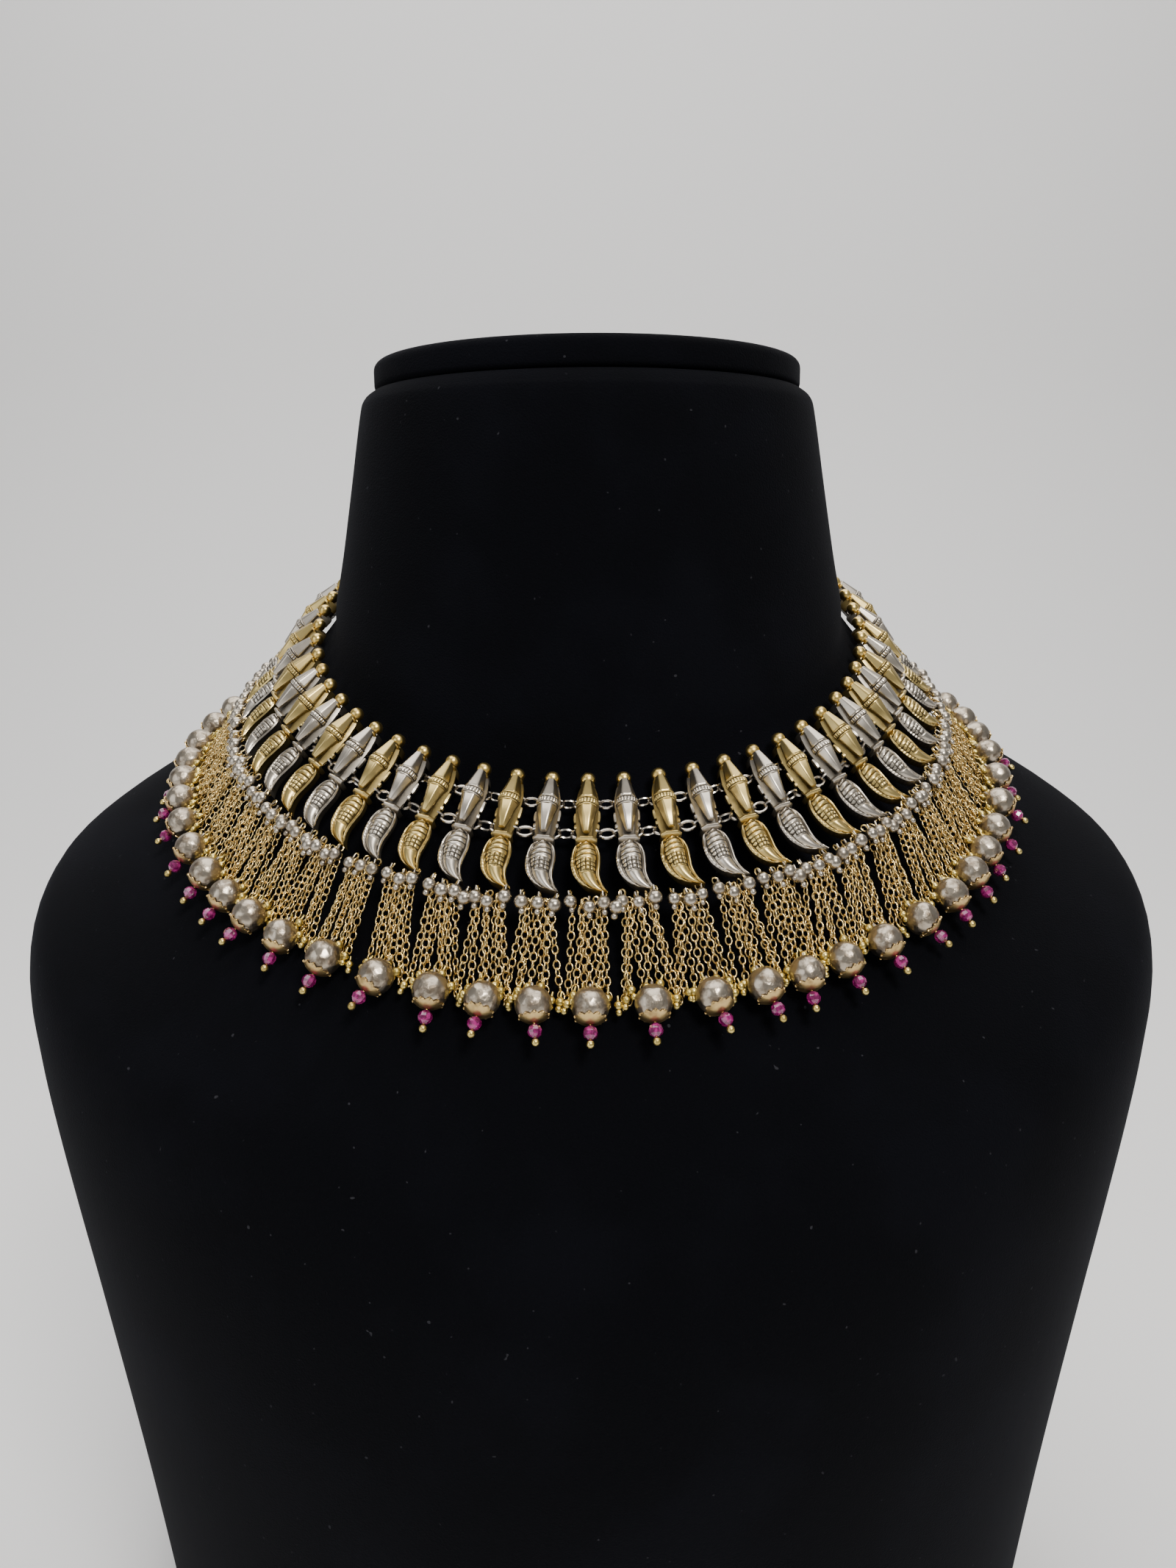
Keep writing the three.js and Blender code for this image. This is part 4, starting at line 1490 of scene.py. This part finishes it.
@dataclass
class Fringe:
    """Tassels under the motifs: silver drops, strands of chain, seeds and large hanging balls."""

    ring: Ring
    growths: Growths
    top: float = 27.23 * MM
    length: float = 16.8 * MM
    sections: int = 7
    strands: int = 7
    top_spread: float = 2.3 * MM
    hem_spread: float = 3.6 * MM
    strand_heights: tuple = (1.0 * MM, 1.75 * MM)
    strand_points: int = 16
    # Chance: the hem's shift and spread for a tassel; then for a strand its top, hem and height off the
    # skin, its start and stop as shares of the fringe's length, and its wave
    tassel_chance: tuple = (0.7 * MM, 0.16)
    across_chance: tuple = (0.35 * MM, 0.6 * MM)
    height_chance: float = 0.12 * MM
    length_chance: tuple = (0.035, 0.05)
    wave_chance: float = 0.3 * MM
    wave_turn: float = 3.0
    link: Link = Link(2.1 * MM, 1.6 * MM, 0.35 * MM, math.radians(8), math.radians(24))
    # Two slow waves make the balls hang unevenly: reach, angle from one tassel to the next, phase
    sways: tuple = ((1.2 * MM, 0.35, 1.17), (0.95 * MM, 1.1, -1.19))
    drape: float = 2.2 * MM
    ball_sides: int = 28
    ball_radius: float = 3.35 * MM
    ball_drop: float = 18.3 * MM
    ball_clearance: float = 0.8 * MM
    ball_lean: float = math.radians(-5)
    ball_tilt: tuple = (math.radians(13), 0.02)  # as in _tilted, like the other tilts
    # Silver drops under a motif, (across, down) in mm, with a fourth on one side here and there
    drop_spots: tuple = ((-2.6, -0.2), (0.0, 0.25), (2.5, -0.3))
    fourth_chance: float = 0.3
    fourth_sides: tuple = (-3.9, 3.8)
    fourth_down: float = 0.6
    drop_looseness: Looseness = Looseness(0.5, 0.35, 1.9)
    drop_tilt: tuple = (math.radians(16), 0.07)
    drop_sides: int = 14
    drop_radius: float = 1.34 * MM
    # Loops at a drop: offset, chance aside, tilt; the drop on the left has only the first
    loop_spots: tuple = (
        ((0.0, 1.75 * MM, -0.55 * MM), 0.2 * MM, (math.radians(35), 0.1)),
        ((-1.2 * MM, 0.9 * MM, -0.8 * MM), 0.3 * MM, (math.radians(60), 0.1)),
    )
    loop_sizes: tuple = (1.5 * MM, 1.1 * MM, 0.32 * MM, 9, 5)  # as wire_loop takes them
    # Seeds at the hem, (across, down) in mm
    seed_spots: tuple = ((-3.5, 0.6), (-2.5, -0.7), (-0.8, -1.9), (1.1, -1.7), (2.5, -0.5), (3.5, 0.7))
    seed_looseness: Looseness = Looseness(0.7, 0.4, 2.7)
    seed_tilt: tuple = (math.radians(24), 0.1)
    seed_sides: int = 10
    seed_radius: float = 0.8 * MM
    # Profiles, (over the ball, radius), in mm: the drops' stem and the large ball's eye
    stem: tuple = ((0.9, 0.0), (0.85, 0.2), (0.1, 0.2))
    eye: tuple = ((0.7, 0.0), (0.65, 0.3), (0.05, 0.35), (-0.1, 0.8))
    end_radius: float = 0.62 * MM
    end_sink: float = 0.72
    # The cap's rings, (share of the way down the ball, share of a petal)
    cap_rows: tuple = ((1.0, 0.0), (0.97, 0.0), (0.91, 0.0), (0.84, 0.1), (0.78, 0.4), (0.72, 1.0))
    cap_tip: float = 0.65
    cap_gap: float = 0.06 * MM
    cap_thickness: float = 0.16 * MM
    petals: int = 10
    petal_base: float = 0.2
    petal_length: float = 0.1
    petal_lift: float = 0.14 * MM
    petal_roundness: float = 0.7
    grain_sides: int = 6
    grain_radius: float = 0.27 * MM
    bead_sides: int = 9
    bead_radius: float = 1.3 * MM
    bead_gap: float = 0.3 * MM
    bead_rows: tuple = (
        (0.95, 0), (0.95, 0.35), (0.55, 0.86), (0, 1.04), (-0.55, 0.86), (-0.95, 0.35), (-0.95, 0),
    )
    pin_sides: int = 12
    pin_start: float = 0.9  # share of the large ball's radius
    pin_radius: float = 0.22 * MM
    pin_reach: float = 0.75 * MM
    pin_ball: float = 0.74 * MM
    seed: int = 11
    chance: random.Random = field(init=False)

    def __post_init__(self) -> None:
        """Starts the seeded chance."""
        self.chance = random.Random(self.seed)

    def build(self) -> None:
        """Makes the fringe's pieces."""
        self._strands()
        self._silver_drops()
        self._seeds()
        self._balls()

    def _swing(self, index: int) -> float:
        """How far a tassel's hem hangs out of line along the ring."""
        step = index - self.ring.count // 2
        waves = sum(reach * math.sin(turn * step + phase) for reach, turn, phase in self.sways)
        return waves - self.drape * math.sin(2 * self.ring.motifs[index])

    def _azimuth(self, index: int, share: float, across: float = 0.0) -> float:
        """The azimuth of a place in a tassel.

        Args:
            index: The tassel, from the left.
            share: From 0 at the fringe's top to 1 at its hem.
            across: Distance from the tassel's middle line.

        Returns:
            The azimuth.
        """
        azimuth = self.ring.motifs[index]
        reach = self.ring.skin.point(azimuth, self.top).xy.length
        return azimuth + (share * self._swing(index) + across) / reach

    def _place(self, index: int, share: float, across: float, height: float) -> Matrix:
        """The frame of a small piece that hangs in a tassel.

        Args:
            index: The tassel, from the left.
            share: From 0 at the fringe's top to 1 at its hem.
            across: Distance from the tassel's middle line.
            height: Height off the skin, without the bib's flare.

        Returns:
            The frame.
        """
        azimuth = self._azimuth(index, share, across)
        lift = (1 - max(share, 0.0)) * self.top * math.sin(self.ring.tilt_at(self.ring.motifs[index]))
        return self.ring.skin.frame_at(azimuth, self.top + share * self.length, height + lift)

    def _jitter(self, reach: float) -> float:
        """A chance step either way."""
        return self.chance.uniform(-reach, reach)

    def _tilted(self, place: Matrix, most: float, size: float) -> Matrix:
        """The frame with a chance lean of up to an angle and a chance size of up to a share more or less."""
        lean = Euler((self._jitter(most) * 0.5, self._jitter(math.pi), self._jitter(most)), "YXZ")
        return place @ lean.to_matrix().to_4x4() @ Matrix.Scale(1 + self._jitter(size), 4)

    def _strands(self) -> None:
        """The fine chains, one piece for each section of the fringe."""
        each = self.ring.count // self.sections
        for section in range(self.sections):
            lines = []
            for index in range(section * each, (section + 1) * each):
                shift, spread = map(self._jitter, self.tassel_chance)
                lines += [self._strand(index, k, shift, 1 + spread) for k in range(self.strands)]
            self.growths.chained(f"fringe_chains_{section + 1}", lines, self.link, f"fringe_{section + 1}")

    def _strand(self, index: int, strand: int, shift: float, spread: float) -> Line:
        """The line of one chain.

        Args:
            index: The tassel, from the left.
            strand: The chain, from the left.
            shift: How far the tassel's hem hangs aside of its ball.
            spread: How wide the tassel fans out, as a share of the usual width.

        Returns:
            The line.
        """
        side = 2 * strand / (self.strands - 1) - 1
        top, hem = map(self._jitter, self.across_chance)
        top += side * self.top_spread
        hem += side * self.hem_spread * spread + shift
        height = self.strand_heights[strand % 2] + self._jitter(self.height_chance)
        start, stop = map(self._jitter, self.length_chance)
        wave, phase = self._jitter(self.wave_chance), self._jitter(math.pi)
        line = []
        for share in arc(self.strand_points, start, 1 + stop):
            across = top + (hem - top) * max(share, 0.0) + wave * math.sin(self.wave_turn * share + phase)
            place = self._place(index, share, across, height)
            line.append((place.to_translation(), place.to_3x3().col[2]))
        return line

    def _near(self, index: int, spot: Sequence[float], loose: Looseness, start: float) -> Matrix:
        """The frame of a small ball near its spot.

        Args:
            index: The tassel, from the left.
            spot: The spot, (across, down) in mm.
            loose: How far chance takes it.
            start: The share of the fringe's length from which the spot counts.

        Returns:
            The frame.
        """
        across, down = spot
        share = start + (down + self._jitter(loose.down)) * MM / self.length
        aside = (across + self._jitter(loose.across)) * MM
        return self._place(index, share, aside, (loose.height + self._jitter(loose.height_chance)) * MM)

    def _silver_drops(self) -> None:
        """Three or four silver balls under each motif, each with a small one beneath and loops above."""
        places, loops = [], []
        for index in range(self.ring.count):
            spots = list(self.drop_spots)
            if self.chance.random() < self.fourth_chance:
                spots.append((self.chance.choice(self.fourth_sides), self.fourth_down))
            for spot in spots:
                place = self._near(index, spot, self.drop_looseness, 0.0)
                places.append(self._tilted(place, *self.drop_tilt))
                for (x, y, z), aside, tilt in self.loop_spots[: 2 if spot[0] > -1 else 1]:
                    hung = place @ Matrix.Translation((x + self._jitter(aside), y, z))
                    loops.append(self._tilted(hung, *tilt))
        drop = self._drop_shape(self.drop_radius, self.drop_sides)
        self.growths.scattered("silver_drops", places, drop, "drop_silver", "silver_link")
        loop = wire_loop(*self.loop_sizes)
        self.growths.scattered("drop_loops", loops, loop, "chain_gold", "gold_chain")

    def _seeds(self) -> None:
        """The pale gold drops along the hem."""
        places = []
        for index in range(self.ring.count):
            for spot in self.seed_spots:
                place = self._near(index, spot, self.seed_looseness, 1.0)
                places.append(self._tilted(place, *self.seed_tilt))
        seed = self._drop_shape(self.seed_radius, self.seed_sides)
        self.growths.scattered("gold_seeds", places, seed, "seed_gold", "seed_gold")

    def _balls(self) -> None:
        """The large balls with their caps, stones and pins."""
        height = self.ball_radius + self.ball_clearance
        places = []
        for index in range(self.ring.count):
            place = self.ring.skin.frame_at(self._azimuth(index, 1.0), self.top + self.ball_drop, height)
            place @= Matrix.Rotation(self.ball_lean, 4, "X")
            places.append(self._tilted(place, *self.ball_tilt))
        # Shape, name, finish, slot, and the angle in degrees over which its edges stay sharp
        parts = (
            (self._ball_shape(), "large_balls", "aged_silver", "aged_silver", 38),
            (self._cap_shape(), "flower_caps", "cap_gold", "gold_chain", 50),
            (self._bead_shape(), "ruby_beads", "ruby_stone", "ruby_stone", 1),
            (self._pin_shape(), "end_pins", "seed_gold", "gold_chain", 38),
        )
        for shape, name, finish, slot, angle in parts:
            self.growths.scattered(name, places, shape, finish, slot, sharp=math.radians(angle))

    def _drop_shape(self, radius: float, sides: int) -> Shape:
        """A ball that hangs by a stem, with a small ball beneath."""
        profile = scaled(self.stem, MM, MM, radius) + ball_profile(radius, 8)[1:-1]
        profile += ball_profile(self.end_radius, 6, -radius - self.end_sink * self.end_radius)[1:]
        return Shape().turned(profile, sides)

    def _ball_shape(self) -> Shape:
        """The large ball, with a little eye on top."""
        profile = scaled(self.eye, MM, MM, self.ball_radius) + ball_profile(self.ball_radius, 16)[2:]
        return Shape().turned(profile, self.ball_sides)

    def _cap_ring(self, share: float, petal: float, lift: float) -> list[tuple[Vector, float]]:
        """One ring of the cap.

        Args:
            share: How far down the ball it lies.
            petal: How much of the petals' form it has.
            lift: Its distance off the ball, without the petals.

        Returns:
            The ring, as (point, height in the relief).
        """
        ring = []
        for angle in arc(4 * self.petals, 0, 2 * math.pi)[:-1]:
            scallop = abs(math.cos(self.petals * angle / 2)) ** self.petal_roundness
            down = share - petal * self.petal_length * scallop
            stand = self.petal_base + (1 - self.petal_base) * scallop
            radius = self.ball_radius + lift + petal * stand * self.petal_lift
            flat = radius * math.sqrt(1 - down**2)
            ring.append((Vector((flat * math.sin(angle), -radius * down, flat * math.cos(angle))), 1.0))
        return ring

    def _cap_shape(self) -> Shape:
        """The flower cap round the ball's foot: a thin shell whose petals stand off the ball."""
        outside = self.cap_gap + self.cap_thickness
        inner = [self._cap_ring(share, petal, self.cap_gap) for share, petal in self.cap_rows]
        outer = [self._cap_ring(share, petal, outside) for share, petal in reversed(self.cap_rows)]
        cap = Shape().loft(inner + outer)
        reach = self.ball_radius + outside
        flat = reach * math.sqrt(1 - self.cap_tip**2)
        grain = ball_profile(self.grain_radius, 4, -reach * self.cap_tip)
        for angle in arc(self.petals, 0, 2 * math.pi)[:-1]:
            foot = Vector((flat * math.sin(angle), 0, flat * math.cos(angle)))
            cap.turned(grain, self.grain_sides, foot)
        return cap

    def _bead_shape(self) -> Shape:
        """The faceted stone under the cap."""
        centre = -self.ball_radius - self.bead_gap - self.bead_radius
        profile = scaled(self.bead_rows, self.bead_radius, self.bead_radius, centre)
        return Shape().turned(profile, self.bead_sides)

    def _pin_shape(self) -> Shape:
        """The pin through the stone, with its end ball."""
        start = -self.ball_radius * self.pin_start
        stone = -self.ball_radius - self.bead_gap - 2 * self.bead_radius
        profile = [(start, 0.0), (start, self.pin_radius), (stone, self.pin_radius)]
        profile += ball_profile(self.pin_ball, 8, stone - self.pin_reach)[1:]
        return Shape().turned(profile, self.pin_sides)


# ---- back stretch


@dataclass
class BackStretch:
    """The plain stretch behind the neck: two chains and a barrel clasp."""

    ring: Ring
    growths: Growths
    drop: float = 4.6 * MM
    chain_height: float = 1.4 * MM
    clasp_length: float = 12 * MM
    clasp_radius: float = 2.1 * MM
    # Half the clasp, from its end: shares of its half length and radius, height in the relief
    clasp_rows: tuple = (
        (1, 0, 0.3), (1, 0.5, 0.4), (0.93, 0.66, 0.6), (0.86, 0.66, 0.2), (0.83, 0.86, 0.6),
        (0.76, 0.94, 1), (0.69, 0.86, 0.6), (0.66, 0.82, 0.1), (0.6, 0.93, 0.7), (0.45, 1, 1),
        (0.1, 1, 1), (0.06, 0.93, 0.1), (0.03, 0.93, 0.1),
    )
    steps: int = 28
    link: Link = Link(3.0 * MM, 2.2 * MM, 0.55 * MM)

    def build(self) -> None:
        """Makes the back's pieces."""
        for name, side in (("left", -1), ("right", 1)):
            start = self.ring.azimuths[0] if side < 0 else self.ring.azimuths[-1]
            line = []
            for azimuth in arc(self.steps, start, side * math.pi):
                place = self.ring.seat(azimuth)
                line.append((place @ Vector((0, -self.drop, self.chain_height)), place.to_3x3().col[2]))
            reach = self.clasp_length / 2 + self.link.length / 3
            behind = line[-1][0].copy()
            line = [spot for spot in line if (spot[0] - behind).length > reach]
            self.growths.chained(f"back_links_{name}", [line], self.link, f"back_chain_{name}")
        self._clasp()

    def _clasp(self) -> None:
        """The barrel clasp, with a ring round each end."""
        half, radius = self.clasp_length / 2, self.clasp_radius
        profile = scaled(self.clasp_rows, half, radius) + scaled(self.clasp_rows[::-1], -half, radius)
        relief = [row[2] for row in self.clasp_rows + self.clasp_rows[::-1]]
        clasp = Shape().turned(profile, 32, high=relief)
        level = Matrix.Translation((0, -self.drop, radius + SEAT_GAP)) @ Matrix.Rotation(math.pi / 2, 4, "Z")
        gold = self.growths.workshop["gold_plate"]
        single("barrel_clasp", clasp, gold, "clasp", self.ring.seat(math.pi) @ level)


# ---- studio


@dataclass
class Studio:
    """The camera, the soft lights and the pale sweep behind the bust."""

    workshop: Workshop
    eye: tuple = (-0.42 * MM, -283.6 * MM, 281.05 * MM)
    pitch: float = math.radians(-12)
    roll: float = math.radians(-0.4)
    focal_pixels: float = 1602.0
    image_height: float = 2133.0
    sensor: float = 36.0
    target: tuple = (0.0, 0.0, 0.25)
    nearest: float = 0.005
    room_colour: tuple = (0.82, 0.84, 0.87)
    room_strength: float = 0.32
    # The sweep: where its floor starts, where its wall stands, the bend between them, height and width
    sweep_front: float = -3.0
    sweep_back: float = 1.1
    sweep_bend: float = 0.5
    sweep_height: float = 3.0
    sweep_width: float = 6.0
    # Name, place, width, power, colour
    lamps: tuple = (
        ("key", (0.34, -0.80, 1.10), 0.34, 13.0, (1.0, 0.97, 0.93)),
        ("fill", (-0.95, -0.75, 0.6), 0.9, 4.5, (0.95, 0.97, 1.0)),
        ("ceiling", (0.0, 0.3, 1.45), 1.5, 23.0, (1.0, 0.98, 0.96)),
    )

    def build(self) -> None:
        """Makes the studio."""
        self._camera()
        self._lights()
        self._sweep()

    def _camera(self) -> None:
        """The camera at the photograph's place."""
        data = bpy.data.cameras.new("camera")
        data.sensor_fit = "VERTICAL"
        data.sensor_height = self.sensor
        data.lens = self.focal_pixels / self.image_height * self.sensor
        data.clip_start = self.nearest
        camera = linked("camera", data)
        tilt = Matrix.Rotation(math.pi / 2 + self.pitch, 4, "X") @ Matrix.Rotation(self.roll, 4, "Z")
        camera.matrix_world = Matrix.Translation(self.eye) @ tilt
        bpy.context.scene.camera = camera

    def _lights(self) -> None:
        """The soft lamps and the even light of the room."""
        for name, place, width, power, colour in self.lamps:
            data = bpy.data.lights.new(name, "AREA")
            data.size = width
            data.energy = power
            data.color = colour
            aim = (Vector(self.target) - Vector(place)).to_track_quat("-Z", "Y")
            linked(name, data).matrix_world = Matrix.Translation(place) @ aim.to_matrix().to_4x4()
        world = bpy.data.worlds.new("room")
        world.use_nodes = True
        room = Tree(world.node_tree.nodes, world.node_tree.links)
        background = world.node_tree.nodes["Background"]
        room.feed(background, "Color", self.room_colour)
        room.feed(background, "Strength", self.room_strength)
        bpy.context.scene.world = world

    def _sweep(self) -> None:
        """The floor and the wall behind it, in one curved sheet."""
        start, bend = self.sweep_back - self.sweep_bend, self.sweep_bend
        line = [(self.sweep_front, 0.0), (start, 0.0)]
        line += [(start + bend * math.sin(a), bend - bend * math.cos(a)) for a in arc(16, 0, math.pi / 2)]
        line.append((self.sweep_back, self.sweep_height))
        points = [(side * self.sweep_width / 2, y, z) for y, z in line for side in (-1, 1)]
        faces = [(2 * i, 2 * i + 1, 2 * i + 3, 2 * i + 2) for i in range(len(line) - 1)]
        mesh = bpy.data.meshes.new("studio_sweep")
        mesh.from_pydata(points, [], faces)
        mesh.shade_smooth()
        mesh.materials.append(self.workshop["studio_paper"])
        linked("studio_sweep", mesh)


def main() -> None:
    """Builds the whole model and its studio."""
    logging.basicConfig(level=logging.INFO, format="%(name)s: %(message)s")
    workshop = Workshop()
    Studio(workshop).build()
    skin = Skin()
    NeckBust(skin, workshop).build()
    ring = Ring(skin)
    growths = Growths(workshop)
    Bib(ring, growths).build()
    Fringe(ring, growths).build()
    BackStretch(ring, growths).build()


if __name__ == "__main__":
    main()
